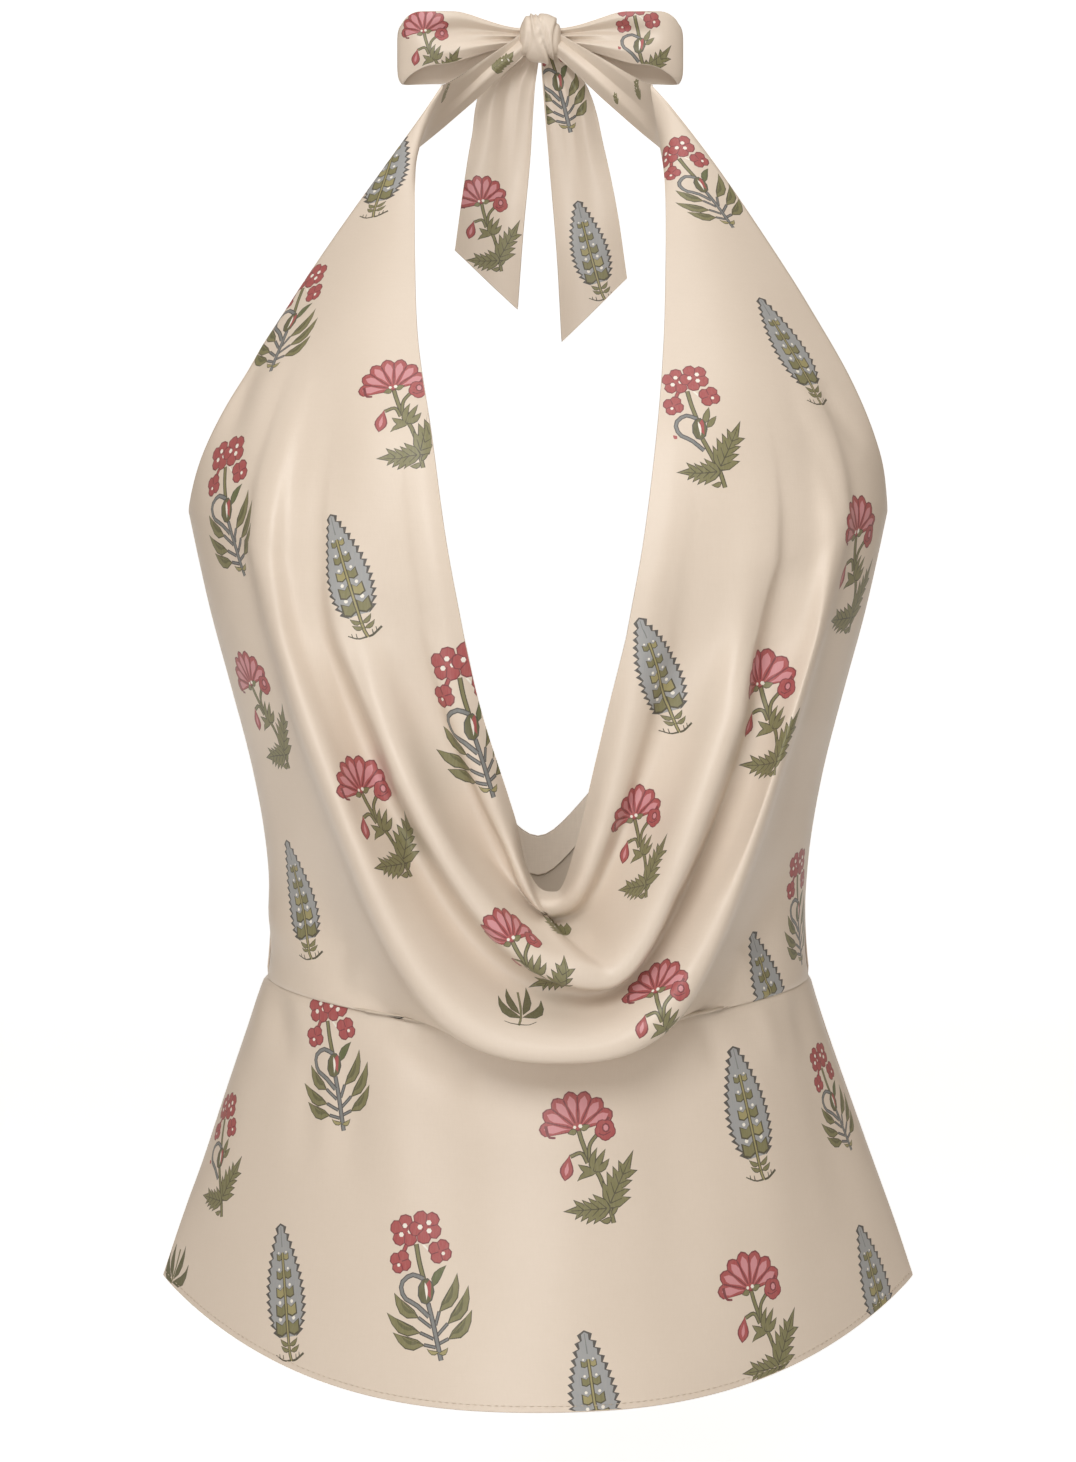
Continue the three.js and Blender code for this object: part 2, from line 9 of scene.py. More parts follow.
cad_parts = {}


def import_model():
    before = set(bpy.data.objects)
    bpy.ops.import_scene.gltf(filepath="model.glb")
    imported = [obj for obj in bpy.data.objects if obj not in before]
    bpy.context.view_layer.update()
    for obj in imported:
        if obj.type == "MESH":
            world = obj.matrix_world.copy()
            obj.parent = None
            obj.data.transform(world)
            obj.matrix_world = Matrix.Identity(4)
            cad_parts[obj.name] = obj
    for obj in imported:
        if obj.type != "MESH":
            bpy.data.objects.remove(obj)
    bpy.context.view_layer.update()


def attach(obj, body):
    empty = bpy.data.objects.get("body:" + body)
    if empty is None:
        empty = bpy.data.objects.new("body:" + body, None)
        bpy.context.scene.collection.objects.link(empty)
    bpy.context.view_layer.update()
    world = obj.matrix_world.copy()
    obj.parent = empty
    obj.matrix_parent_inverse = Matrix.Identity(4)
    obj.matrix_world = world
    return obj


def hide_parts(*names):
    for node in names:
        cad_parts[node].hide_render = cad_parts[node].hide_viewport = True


bl_info = {
    "name": "Halter neck top",
    "version": (1, 0, 0),
    "blender": (4, 5, 0),
    "location": "3D View > Sidebar > Halter top",
    "description": "Makes a printed satin halter neck top round its frame",
    "category": "Object",
}

# Sizes that the frame's source also has. X is the viewer's right, Y is the back, Z is up.
NAPE_DEPTH = 54
SEAM_GAP = 0.3
STRAP_SHARE = 1 / 3
SEAM_RISE = 13
STRAP_BULGE = 42
STRAP_BULGE_POWER = 2.2
BODY_BEGINS = 0.55
SEAM_EVENNESS = 0.2
UNDERARM_Z = -211
WAIST_Z = -428
BACK_LOW_Z = -361
BACK_POINT = 0.09
HEM_FRONT_Z = -585
HEM_BACK_Z = -578
HEM_SIDE_Z = -549
HEM_FRONT = 125
HEM_BACK = 116
HEM_CURVE = 2.9
HEM_LENS = 0.87
FACING_DEPTH = 16
FACING_DROP = 0.6
FACING_INSET = 1.6

KNOT_CENTRE = (1, 62, 1)
KNOT_HALF = (9.5, 8, 11)
KNOT_SQUARE = 2.5
TIE_FORWARD = 1.5
TIE_HALF_END = 5.5
TIE_DROP = 3
TIE_ARC = 0.15
TIE_INSET = 1.2
LOOP_REACH = 64.5
LOOP_BACK = 3.2
LOOP_BELLY = 7.5
LOOP_END_GAP = 2
LOOP_BEND = 1.6
LOOP_CROWN = 1.6
LOOP_PLEAT = 1.5
LOOP_HOLLOW = 4.4
# Heights of the loops' upper edge, and of their lower one on the near and the far layer.
LOOP_TOP = {"tip": 7.6, "middle": 12.4, "knot": 5.6}
LOOP_LOW = {"tip": -19.4, "near": -11, "far": -18.4, "knot": -2.6}

# Half widths seen from the front, from underarm to hem.
SIDE_LINE = {
    "at": (-211, -230, -257, -285, -319, -350, -372, -390, -406, -415, -429, -449, -488, -525, -549),
    "half": (152.4, 148.4, 142.4, 135, 126.3, 120.5, 118.3, 117.9, 118.8, 120, 124, 130.7, 144.6, 158, 166),
}

# How far front and back stand from the side seams, and how square the sections are.
DEPTH_LINE = {
    "at": (-190, -235, -262, -300, -340, -380, -415, -428),
    "front": (115, 120, 118, 112, 105, 98, 93, 92),
    "back": (92, 94, 94, 91, 88, 86, 85, 85),
    "square": (2.7, 2.7, 2.6, 2.5, 2.4, 2.3, 2.2, 2.2),
}

# The two edges of the straps, from the side of the neck (0) to the level of the underarm (1).
STRAP_EDGES = {
    "at": (0, 0.12, 0.27, 0.42, 0.57, 0.72, 0.87, 1),
    "neck_left": (-52.4, -53, -53, -52.5, -50.5, -44.5, -38.5, -31),
    "neck_right": (53.3, 54.3, 55, 54.5, 53, 49.5, 44, 37),
    "neck_y": (0, -14, -34, -59, -83, -100, -110, -112),
    "neck_z": (-53, -62, -79, -105, -140, -179, -222, -262),
    "arm_left": (-41, -50, -67, -89, -109, -128.5, -144.5, -152.4),
    "arm_right": (49, 60, 78, 99, 118, 135.5, 148, 152.4),
    "arm_y": (3, -3, -12, -25, -35, -33, -20, 0),
    "arm_z": (-25, -37, -61, -93, -124, -156, -187, -211),
}

# Where the neck edge would go on down if the cowl did not turn across.
INNER_LINE = {
    "at": (-262, -294, -330, -370, -400, -445),
    "left": (-31, -24, -15, -7, -2, 0),
    "right": (37, 30, 23, 16, 12, 10),
}

# The lines that hang across the cowl, from the neck edge to the seams at the side and the waist.
# left and right are shares of the way to the side, x, y and z are the lowest point, square is how square
# the bend is, rise is how far it climbs, and begin and full tell where it stands off the body.
COWL_COLUMNS = ("left", "right", "square", "x", "y", "z", "rise", "begin", "full")
COWL_LINES = {
    "neck edge": (0, 0, 2.6, 7, -96, -371, 0, 0.18, 0.73),
    "neck roll": (0.06, 0.08, 2.4, 7, -106, -374, 0, 0.18, 0.73),
    "small fold": (0.12, 0.15, 2.3, 8, -105, -379.5, 0, 0.2, 0.73),
    "small valley": (0.17, 0.22, 2.2, 11, -96, -382, 0, 0.24, 0.73),
    "middle slope": (0.29, 0.34, 2.1, 18, -108, -390.5, 0, 0.28, 0.78),
    "middle crest": (0.4, 0.45, 2, 24, -122, -400, 0, 0.24, 0.68),
    "middle fold": (0.465, 0.53, 2.1, 26, -122.5, -408.5, 0, 0.24, 0.68),
    "middle tuck": (0.5, 0.565, 2.15, 23, -109, -409.5, 0, 0.34, 0.85),
    "middle valley": (0.545, 0.62, 2.2, 18, -106, -414, 0, 0.34, 0.85),
    "low slope": (0.61, 0.69, 2.3, 14, -118, -422, 0, 0.25, 0.75),
    "low crest": (0.67, 0.76, 2.4, 12, -128.5, -431, 0, 0.2, 0.64),
    "low fold": (0.73, 0.815, 2.5, 11, -127.5, -439, 0, 0.2, 0.64),
    "low tuck": (0.775, 0.85, 2.7, 9, -110, -438, 1, 0.3, 0.85),
    "waist ease": (0.88, 0.915, 4, 4, -98, -430.5, 7, 0.7, 1),
    "side ease": (0.96, 0.965, 8, 2, -95, -428.2, 12, 0.7, 1),
    "seams": (1, 1, math.inf, 0, -92, -428, 13, 0.18, 0.73),
}

# The edges of the bow's two hanging ends, from under the knot (0) to the slanting cut (1).
TAIL_LEFT = {
    "at": (0, 0.12, 0.4, 0.7, 1),
    "outer": (-7, -24, -30, -34, -37.6),
    "inner": (0.3, -2, -4, -7, -9.5),
    "outer_z": (-5, -18, -43, -68, -93.5),
    "inner_z": (-5, -21, -53, -86, -120),
    "y": (72, 71, 72, 70, 73),
}
TAIL_RIGHT = {
    "at": (0, 0.12, 0.4, 0.7, 1),
    "outer": (9, 22, 30, 36, 40.3),
    "inner": (1.7, 3, 6, 9, 11),
    "outer_z": (-5, -20, -48, -77, -106),
    "inner_z": (-5, -23, -60, -98, -134.6),
    "y": (72, 71, 73, 71, 74),
}
# The knot's creases: where each crosses its middle, its slope, its bow and its depth.
KNOT_GROOVES = (
    (-0.5, -0.16, 0.2, 0.1), (0, 0.42, -0.1, 0.16), (0.3, 0.34, 0.1, 0.13), (0.66, -0.1, -0.25, 0.09),
)
TAIL_FOLD = 2.4
TAIL_FOLD_FADE = 0.6
TAIL_FOLD_FULL = 0.2

# The camera stands level with the middle of the chest and a little above it.
CAMERA_PLACE = (0, -2.0513, -0.2033)
CAMERA_TARGET = (0, -0.054, -0.308)
CAMERA_LENS = 111.93
SENSOR = 36
PHOTO_WIDTH = 1076
PHOTO_HEIGHT = 1462

CLOTH = 0.7
TIE_CLOTH = 0.9
EDGE_ROLL = 0.35
CELL_MARGIN = 0.02
WALL_GLOW = 0.6
BACKDROP_HALF = 1.5
CREASE_PLANE = -110
OVERLAP_EDGE = 0.9
OVERLAP_NEAR = 9
OVERLAP_FAR = 15


# How far the cloth dips along its sewn edges, and how wide the dip is.
SEAM_DIP = 0.8
PEPLUM_CROWDING = 1.3
SEAM_DIP_WIDTH = 1.4

STITCH_PITCH = 3
STITCH_LENGTH = 2.3
STITCH_THICK = 0.2
HEM_DEPTH = 2.2
NECK_STITCH_DEPTH = 2.2


def mix(start, end, share):
    return start + (end - start) * share


def ease(low, high, value):
    share = np.clip((value - low) / (high - low), 0, 1)
    return share * share * (3 - 2 * share)


def read(table, column, place):
    """One column of a table as a smooth curve, read at any places between its rows."""
    at = np.array(table["at"], float)
    values = np.array(table[column], float)
    place = np.asarray(place, float)
    if at[1] < at[0]:
        at = at[::-1]
        values = values[::-1]
    slopes = np.empty(len(at))
    slopes[1:-1] = (values[2:] - values[:-2]) / (at[2:] - at[:-2])
    slopes[0] = (values[1] - values[0]) / (at[1] - at[0])
    slopes[-1] = (values[-1] - values[-2]) / (at[-1] - at[-2])
    row = np.clip(np.searchsorted(at, place) - 1, 0, len(at) - 2)
    width = at[row + 1] - at[row]
    share = np.clip((place - at[row]) / width, 0, 1)
    square = share * share
    cube = square * share
    return ((2 * cube - 3 * square + 1) * values[row]
            + (cube - 2 * square + share) * width * slopes[row]
            + (3 * square - 2 * cube) * values[row + 1]
            + (cube - square) * width * slopes[row + 1])


def half_width(z):
    return read(SIDE_LINE, "half", z)


def roundness(share, square):
    return np.maximum(0, 1 - np.abs(share) ** square) ** (1 / square)


def front_depth(x, z):
    square = read(DEPTH_LINE, "square", z)
    return -read(DEPTH_LINE, "front", z) * roundness(np.clip(x / half_width(z), -1, 1), square)


def seam_share(step):
    return SEAM_EVENNESS * step + (1 - SEAM_EVENNESS) * np.sin(step * math.pi / 2)


def plain_depth(run, share, x, z):
    """How far the plain front stands forward, share being the way from the neck edge to the side."""
    place = np.minimum(run / STRAP_SHARE, 1)
    flat = mix(read(STRAP_EDGES, "neck_y", place), read(STRAP_EDGES, "arm_y", place), share)
    bulged = flat - STRAP_BULGE * place ** STRAP_BULGE_POWER * np.sin(math.pi * np.clip(share, 0, 1))
    return mix(bulged, front_depth(x, z), ease(BODY_BEGINS, 1, place))


def cowl_line(index, u):
    """One hanging line of the cowl, at places u from the left strap (-1) to the right one (1)."""
    line = dict(zip(COWL_COLUMNS, list(COWL_LINES.values())[index]))
    left = u < 0
    run = 1 - np.abs(u)
    side = np.where(left, line["left"], line["right"])
    def top_x(share, place):
        neck = np.where(left, read(STRAP_EDGES, "neck_left", place), read(STRAP_EDGES, "neck_right", place))
        arm = np.where(left, read(STRAP_EDGES, "arm_left", place), read(STRAP_EDGES, "arm_right", place))
        return mix(neck, arm, share)

    def top_z(share, place):
        return mix(read(STRAP_EDGES, "neck_z", place), read(STRAP_EDGES, "arm_z", place), share)

    place = np.minimum(run / STRAP_SHARE, 1)
    share_above = mix(index / (len(COWL_LINES) - 1), side, ease(0, 1, place))
    turn = 2 * (run - STRAP_SHARE) / (1 - STRAP_SHARE)
    across = np.where(turn <= 1, 1, seam_share(2 - turn))
    down = np.clip(turn, 0, 1)
    if math.isinf(line["square"]):
        bend = np.ones_like(u)
    else:
        bend = (np.abs(across) ** line["square"] + down ** line["square"]) ** (1 / line["square"])
    c = across / bend
    a = down / bend
    # The cloth leaves the body by how far the line has turned, so that it does so evenly along it.
    turned_by = STRAP_SHARE + (1 - STRAP_SHARE) * np.arctan2(down, across) * 2 / math.pi
    progress = np.where(run <= STRAP_SHARE, run, turned_by)
    off = (line["y"] - front_depth(line["x"], line["z"])) * ease(line["begin"], line["full"], progress)
    start_z = top_z(side, 1)
    z = start_z - (start_z - line["z"]) * a + line["rise"] * c * c * a * a

    def guide(level):
        inner = np.where(left, read(INNER_LINE, "left", level), read(INNER_LINE, "right", level))
        return mix(inner, half_width(level) * np.where(left, -1, 1), side)

    coming_down = top_x(side, 1) + guide(z) - guide(start_z)
    x = line["x"] + (coming_down - line["x"]) * c
    above = run <= STRAP_SHARE
    return np.stack([
        np.where(above, top_x(share_above, place), x),
        np.where(above, top_z(share_above, place), z),
        np.where(above, share_above, side),
        off,
    ], -1)


def through(lines, places):
    """Smooth curves through a stack of lines, read at places from 0 to 1."""
    last = len(lines) - 1
    place = np.clip(places, 0, 1) * last
    index = np.minimum(last - 1, np.floor(place).astype(int))
    share = (place - index)[:, None, None]
    padded = np.concatenate([[2 * lines[0] - lines[1]], lines, [2 * lines[-1] - lines[-2]]])
    before, here, after, beyond = (padded[index + k] for k in range(4))
    square = share * share
    cube = square * share
    return (before * (-cube + 2 * square - share) + here * (3 * cube - 5 * square + 2)
            + after * (-3 * cube + 4 * square + share) + beyond * (cube - square)) / 2


def waist_seam_z(share):
    return WAIST_Z + SEAM_RISE * share * share


def back_grid(shares, downs):
    share, down = np.meshgrid(shares, downs)
    top = BACK_LOW_Z + (UNDERARM_Z - BACK_LOW_Z) * (
        np.hypot(share, BACK_POINT) - BACK_POINT) / (math.hypot(1, BACK_POINT) - BACK_POINT)
    drop = UNDERARM_Z - WAIST_Z
    along = (drop * down - SEAM_RISE * down * down) / (drop - SEAM_RISE)
    z = mix(top, waist_seam_z(share), along)
    depth = read(DEPTH_LINE, "back", z) * roundness(share, read(DEPTH_LINE, "square", z))
    return np.stack([share * half_width(z), SEAM_GAP + depth, z], -1)


def peplum_grid(shares, downs, facing):
    share, down = np.meshgrid(shares, downs)
    hem_middle = HEM_FRONT_Z if facing < 0 else HEM_BACK_Z
    hem_z = hem_middle + (HEM_SIDE_Z - hem_middle) * np.abs(share) ** HEM_CURVE
    side_z = mix(waist_seam_z(1), HEM_SIDE_Z, down)
    seam_z = waist_seam_z(share)
    z = mix(seam_z - SEAM_GAP, hem_z, down)
    waist = read(DEPTH_LINE, "front" if facing < 0 else "back", seam_z)
    at_waist = waist * roundness(share, read(DEPTH_LINE, "square", seam_z))
    at_hem = (HEM_FRONT if facing < 0 else HEM_BACK) * np.maximum(0, 1 - share * share) ** HEM_LENS
    y = facing * mix(at_waist, at_hem, down) + (SEAM_GAP if facing > 0 else 0)
    return np.stack([share * half_width(side_z), y, z], -1)


def waist_shares(steps):
    half = seam_share(np.linspace(0, 1, steps + 1))
    return np.concatenate([-half[::-1], half[1:]])


# Grids of points.

def normals_of(grid, hub):
    """Unit normals of a grid, pointing away from the hub."""
    along = np.gradient(grid, axis=1)
    over = np.gradient(grid, axis=0)
    normals = np.cross(along, over)
    normals /= np.maximum(np.linalg.norm(normals, axis=-1, keepdims=True), 1e-9)
    if np.sum(normals * (grid - hub)) < 0:
        normals = -normals
    return normals


def curve(points, steps):
    """A smooth curve through given points."""
    points = np.array(points, float)
    lines = points[:, None, :]
    return through(lines, np.linspace(0, 1, steps))[:, 0, :]


def near_path(x, z, path, steps=40):
    """Signed distance from a path seen from the front, and the place along it from 0 to 1."""
    line = curve(path, steps)
    best = np.full(x.shape, np.inf)
    signed = np.zeros(x.shape)
    place = np.zeros(x.shape)
    for k in range(steps - 1):
        start, end = line[k], line[k + 1]
        along = end - start
        length = max(np.hypot(*along), 1e-9)
        share = np.clip(((x - start[0]) * along[0] + (z - start[1]) * along[1]) / length ** 2, 0, 1)
        dx = x - start[0] - share * along[0]
        dz = z - start[1] - share * along[1]
        distance = np.hypot(dx, dz)
        closer = distance < best
        best = np.where(closer, distance, best)
        signed = np.where(closer, np.sign(along[0] * dz - along[1] * dx) * distance, signed)
        place = np.where(closer, (k + share) / (steps - 1), place)
    return signed, place


def crease(grid, normals, path, width, depth, blunt=0.8):
    """Lifts (or with a negative depth sinks) the cloth along a path seen from the front."""
    distance, place = near_path(grid[..., 0], grid[..., 2], path)
    strength = np.sin(math.pi * np.clip(place, 0, 1)) ** blunt
    return grid + normals * (depth * strength * np.exp(-(distance / width) ** 2))[..., None]


def dipped(grid, hub, row):
    """Sinks the cloth along one of its sewn edges, the first (0) or the last (-1) row."""
    distance = np.linalg.norm(grid - grid[row], axis=-1)
    return grid - normals_of(grid, hub) * (SEAM_DIP * np.exp(-(distance / SEAM_DIP_WIDTH) ** 2))[..., None]


# Print.

INKS = {
    "dark": (0.045, 0.045, 0.047),
    "bark": (0.042, 0.04, 0.018),
    "olive": (0.165, 0.16, 0.062),
    "moss": (0.085, 0.088, 0.03),
    "green": (0.085, 0.11, 0.035),
    "grey": (0.29, 0.305, 0.315),
    "stone": (0.16, 0.175, 0.18),
    "red": (0.34, 0.05, 0.058),
    "wine": (0.16, 0.014, 0.028),
    "pink": (0.56, 0.23, 0.26),
    "white": (0.78, 0.75, 0.68),
    "straw": (0.29, 0.26, 0.105),
}
OUTLINE = 0.8


# Where the cowl's left layer lies over the roll that comes from the right strap, in the photograph's pixels.
OVERLAP = ((505, 775), (515, 829), (526, 870), (540, 904), (560, 933), (584, 953), (612, 968))

# The soft troughs and ridges that the photograph shows besides the cowl's folds: their path in its pixels,
# their half width and height in millimetres (below 0 for a trough) and how soon they fade at their ends.
FRONT_CREASES = (
    (((396, 655), (437, 774), (477, 838), (520, 880)), 8, -3.4, 0.8),
    (((340, 610), (352, 660), (372, 722), (398, 778)), 7, -3, 0.9),
    (((372, 640), (392, 700), (424, 772), (458, 850)), 7, 2.2, 0.8),
    (((306, 560), (316, 640), (330, 720), (352, 800)), 8, 2.4, 0.8),
    (((783, 560), (770, 610), (757, 662), (742, 712)), 9, -4, 0.9),
    (((757, 640), (735, 740), (708, 826), (676, 896)), 7, 2.6, 0.8),
    (((775, 700), (760, 770), (738, 838), (712, 896)), 6, -2.6, 0.8),
    (((640, 560), (628, 660), (618, 740), (600, 820)), 12, 2, 0.8),
    (((700, 520), (684, 620), (660, 720), (636, 800)), 11, -1.8, 0.8),
    (((258, 345), (240, 372), (228, 410), (216, 446)), 4, -1.6, 0.8),
    (((285, 330), (262, 384), (248, 440), (240, 500)), 5, 1.2, 0.8),
    (((826, 384), (844, 408), (860, 428), (872, 452)), 4, -1.7, 0.8),
    (((812, 420), (826, 452), (838, 488), (846, 530)), 4.5, -1.4, 0.8),
    (((250, 560), (262, 660), (272, 760), (276, 850)), 9, -1.6, 0.8),
    (((820, 600), (812, 700), (800, 790), (786, 870)), 9, -1.8, 0.8),
    (((222, 880), (258, 930), (306, 966), (352, 988)), 7, 1.4, 0.8),
    (((300, 850), (322, 920), (352, 968), (392, 1010)), 8, -2.2, 0.8),
    (((800, 850), (776, 912), (748, 958), (716, 1000)), 8, -2.2, 0.8),
    (((330, 330), (326, 450), (330, 560), (340, 650)), 12, -2.4, 0.8),
    (((341, 944), (335, 974), (341, 1006)), 3.6, -1.6, 0.8),
    (((366, 956), (358, 980), (364, 1006)), 3.6, 1.2, 0.8),
    (((325, 936), (318, 966), (323, 998)), 3.6, -1.2, 0.8),
    (((770, 940), (778, 972), (774, 1004)), 3.6, -1.4, 0.8),
    (((742, 956), (750, 982), (744, 1008)), 3.6, 1.2, 0.8),
    (((856, 520), (848, 580), (834, 650), (822, 730)), 8, -2.4, 0.8),
    (((420, 330), (428, 450), (444, 570), (468, 680)), 12, 1.3, 0.8),
)
FRONT_PEPLUM_CREASES = (
    (((268, 999), (273, 1044), (279, 1092)), 4.5, -1.5, 0.8),
    (((288, 1010), (298, 1044), (304, 1076)), 4, 1.1, 0.8),
    (((254, 1000), (251, 1044), (245, 1090)), 4.5, 1.1, 0.8),
    (((408, 1016), (415, 1036), (424, 1050)), 2.6, -1, 0.8),
    (((372, 1028), (406, 1060), (440, 1080), (474, 1092)), 8, -1.7, 0.8),
    (((700, 1022), (714, 1050), (722, 1084)), 4.5, -1.4, 0.8),
    (((760, 1008), (772, 1040), (782, 1082)), 4.5, 1.1, 0.8),
    (((806, 998), (812, 1036), (822, 1078)), 4, -1.2, 0.8),
    (((300, 1012), (302, 1070), (300, 1130), (294, 1190)), 6, -1.6, 0.8),
    (((338, 1030), (344, 1080), (346, 1140), (344, 1210)), 7, -2, 0.8),
    (((382, 1042), (392, 1110), (396, 1180), (396, 1260)), 9, 1.6, 0.8),
    (((440, 1066), (452, 1150), (458, 1250), (462, 1370)), 14, -1.6, 0.8),
    (((560, 1076), (562, 1160), (566, 1260), (566, 1390)), 18, 1.5, 0.8),
    (((660, 1060), (672, 1150), (682, 1250), (690, 1370)), 14, -1.8, 0.8),
    (((742, 1022), (756, 1110), (776, 1200), (796, 1330)), 12, 1.8, 0.8),
    (((806, 1006), (826, 1090), (848, 1180), (868, 1280)), 9, -1.8, 0.8),
    (((250, 1000), (236, 1080), (216, 1170), (198, 1270)), 10, 1.6, 0.8),
    (((214, 1000), (196, 1070), (176, 1150), (160, 1230)), 7, -1.4, 0.8),
)
# On the back the paths are in millimetres: x and z.
BACK_CREASES = (
    (((-92, -262), (-74, -310), (-60, -360), (-54, -410)), 10, -2, 0.8),
    (((88, -256), (76, -306), (60, -352), (50, -404)), 11, 1.8, 0.8),
    (((-118, -300), (-96, -344), (-84, -384), (-78, -422)), 8, 1.6, 0.8),
    (((112, -296), (100, -340), (92, -384), (88, -420)), 8, -1.8, 0.8),
    (((-20, -372), (-22, -392), (-20, -412), (-14, -426)), 7, 1.4, 0.8),
    (((24, -374), (26, -394), (22, -414), (16, -426)), 6, -1.5, 0.8),
)
BACK_PEPLUM_CREASES = (
    (((-100, -436), (-112, -470), (-122, -510), (-130, -552)), 9, -1.8, 0.8),
    (((-56, -440), (-64, -480), (-70, -520), (-74, -566)), 12, 2, 0.8),
    (((-12, -438), (-14, -480), (-14, -530), (-12, -574)), 12, -1.7, 0.8),
    (((34, -440), (38, -484), (44, -530), (48, -572)), 13, 1.8, 0.8),
    (((76, -438), (84, -478), (92, -522), (98, -562)), 10, -2, 0.8),
    (((108, -434), (120, -470), (132, -512), (142, -548)), 9, 1.5, 0.8),
)


class Motif:
    """Flat shapes in the order they are printed, in hundredths of the motif's height."""

    def __init__(self):
        self.rings = []

    def ring(self, ink, points):
        self.rings.append((ink, np.array(points, float)))

    def disc(self, ink, centre, radius, tall=None, heading=0, sides=9):
        tall = radius if tall is None else tall
        turn = np.linspace(0, 2 * math.pi, sides, endpoint=False)
        flat = np.stack([radius * np.cos(turn), tall * np.sin(turn)], -1)
        self.ring(ink, turned(flat, heading) + centre)

    def line(self, ink, path, width, end_width=None, steps=7):
        end_width = width if end_width is None else end_width
        middle = curve(path, steps)
        along = np.gradient(middle, axis=0)
        along /= np.maximum(np.linalg.norm(along, axis=1, keepdims=True), 1e-9)
        side = np.stack([-along[:, 1], along[:, 0]], -1)
        half = np.linspace(width, end_width, steps)[:, None] / 2
        self.ring(ink, np.concatenate([middle + side * half, (middle - side * half)[::-1]]))

    def blade(self, ink, root, tip, width, bend=0.0, grow=0.0, fullest=0.4, steps=5):
        """A leaf or petal from root to tip, its middle bent sideways, grown all round by grow."""
        root = np.array(root, float)
        tip = np.array(tip, float)
        along = tip - root
        length = np.hypot(*along)
        along = along / length
        side = np.array([-along[1], along[0]])
        place = np.linspace(0, 1, steps)
        middle = (root - along * grow)[None] + along[None] * (length + 2 * grow) * place[:, None]
        middle = middle + side[None] * (bend * length * 4 * place * (1 - place))[:, None]
        power = math.log(0.5) / math.log(fullest)
        half = np.sin(math.pi * place ** power) * (width / 2 + grow)
        edge = side[None] * half[:, None]
        self.ring(ink, np.concatenate([middle[:-1] + edge[:-1], (middle - edge)[:0:-1]]))

    def outlined(self, line, ink, shapes, grow=OUTLINE):
        """Several blades as one form: all their outlines first, and then all their insides."""
        for shape in shapes:
            self.blade(line, *shape, grow=grow)
        for shape in shapes:
            self.blade(ink, *shape)

    def scallops(self, ink, centre, radius, lobes, start, spread, dip=0.74, grow=0.0):
        """A flower's edge with round lobes, closed at its centre where it isn't a whole circle."""
        centre = np.array(centre, float)
        step = spread / lobes
        points = []
        for lobe in range(lobes):
            for part, reach in ((0, dip), (0.22, 0.95), (0.5, 1), (0.78, 0.95)):
                heading = start + step * (lobe + part)
                points.append(centre + (radius * reach + grow) * np.array([math.cos(heading), math.sin(heading)]))
        if abs(spread) < 6:
            heading = start + spread
            points.append(centre + (radius * dip + grow) * np.array([math.cos(heading), math.sin(heading)]))
            middle = start + spread / 2
            points.append(centre - grow * np.array([math.cos(middle), math.sin(middle)]))
        self.ring(ink, points)


def turned(points, heading):
    c, s = math.cos(heading), math.sin(heading)
    return np.asarray(points) @ np.array([[c, s], [-s, c]])


def lobed_leaf(motif, root, tip, lobes, reach):
    """A leaf with pointed lobes on both sides of its middle rib."""
    root = np.array(root, float)
    tip = np.array(tip, float)
    along = tip - root
    length = np.hypot(*along)
    along /= length
    side = np.array([-along[1], along[0]])

    def edge(grow):
        halves = {}
        for hand in (-1, 1):
            points = [root - along * grow + side * hand * (0.9 + grow)]
            for lobe in range(lobes):
                place = 0.04 + 0.7 * (lobe + 0.12 * (hand + 1)) / lobes
                out = reach * (1 - 0.5 * place) * (0.86 + 0.14 * math.cos(5 * lobe + hand))
                start = root + along * length * place
                points.append(start + along * out * 0.1 + side * hand * (out * 0.5 + grow))
                points.append(start + along * (out * 0.78 + 1.6 * grow) + side * hand * (out * 0.86 + 1.2 * grow))
                points.append(start + along * (out * 0.5 + length * 0.05) + side * hand * (out * 0.3 + grow))
            halves[hand] = points
        return halves[1] + [tip + along * 2 * grow] + halves[-1][::-1]

    motif.ring("bark", edge(0.9))
    motif.ring("olive", edge(0))
    motif.line("bark", [root + along * length * 0.06, root + along * length * 0.86], 0.9, 0.5, 2)
    for lobe in range(lobes):
        place = 0.06 + 0.7 * lobe / lobes
        start = root + along * length * place
        for hand in (-1, 1):
            out = reach * (1 - 0.5 * place) * 0.62
            motif.line("bark", [start, start + along * out * 0.8 + side * hand * out * 0.72], 0.8, 0.5, 2)


def stem(motif, path, width, line="bark", ink="olive", steps=10):
    motif.line(line, path, width + 1.5, None, steps)
    motif.line(ink, path, width, None, steps)


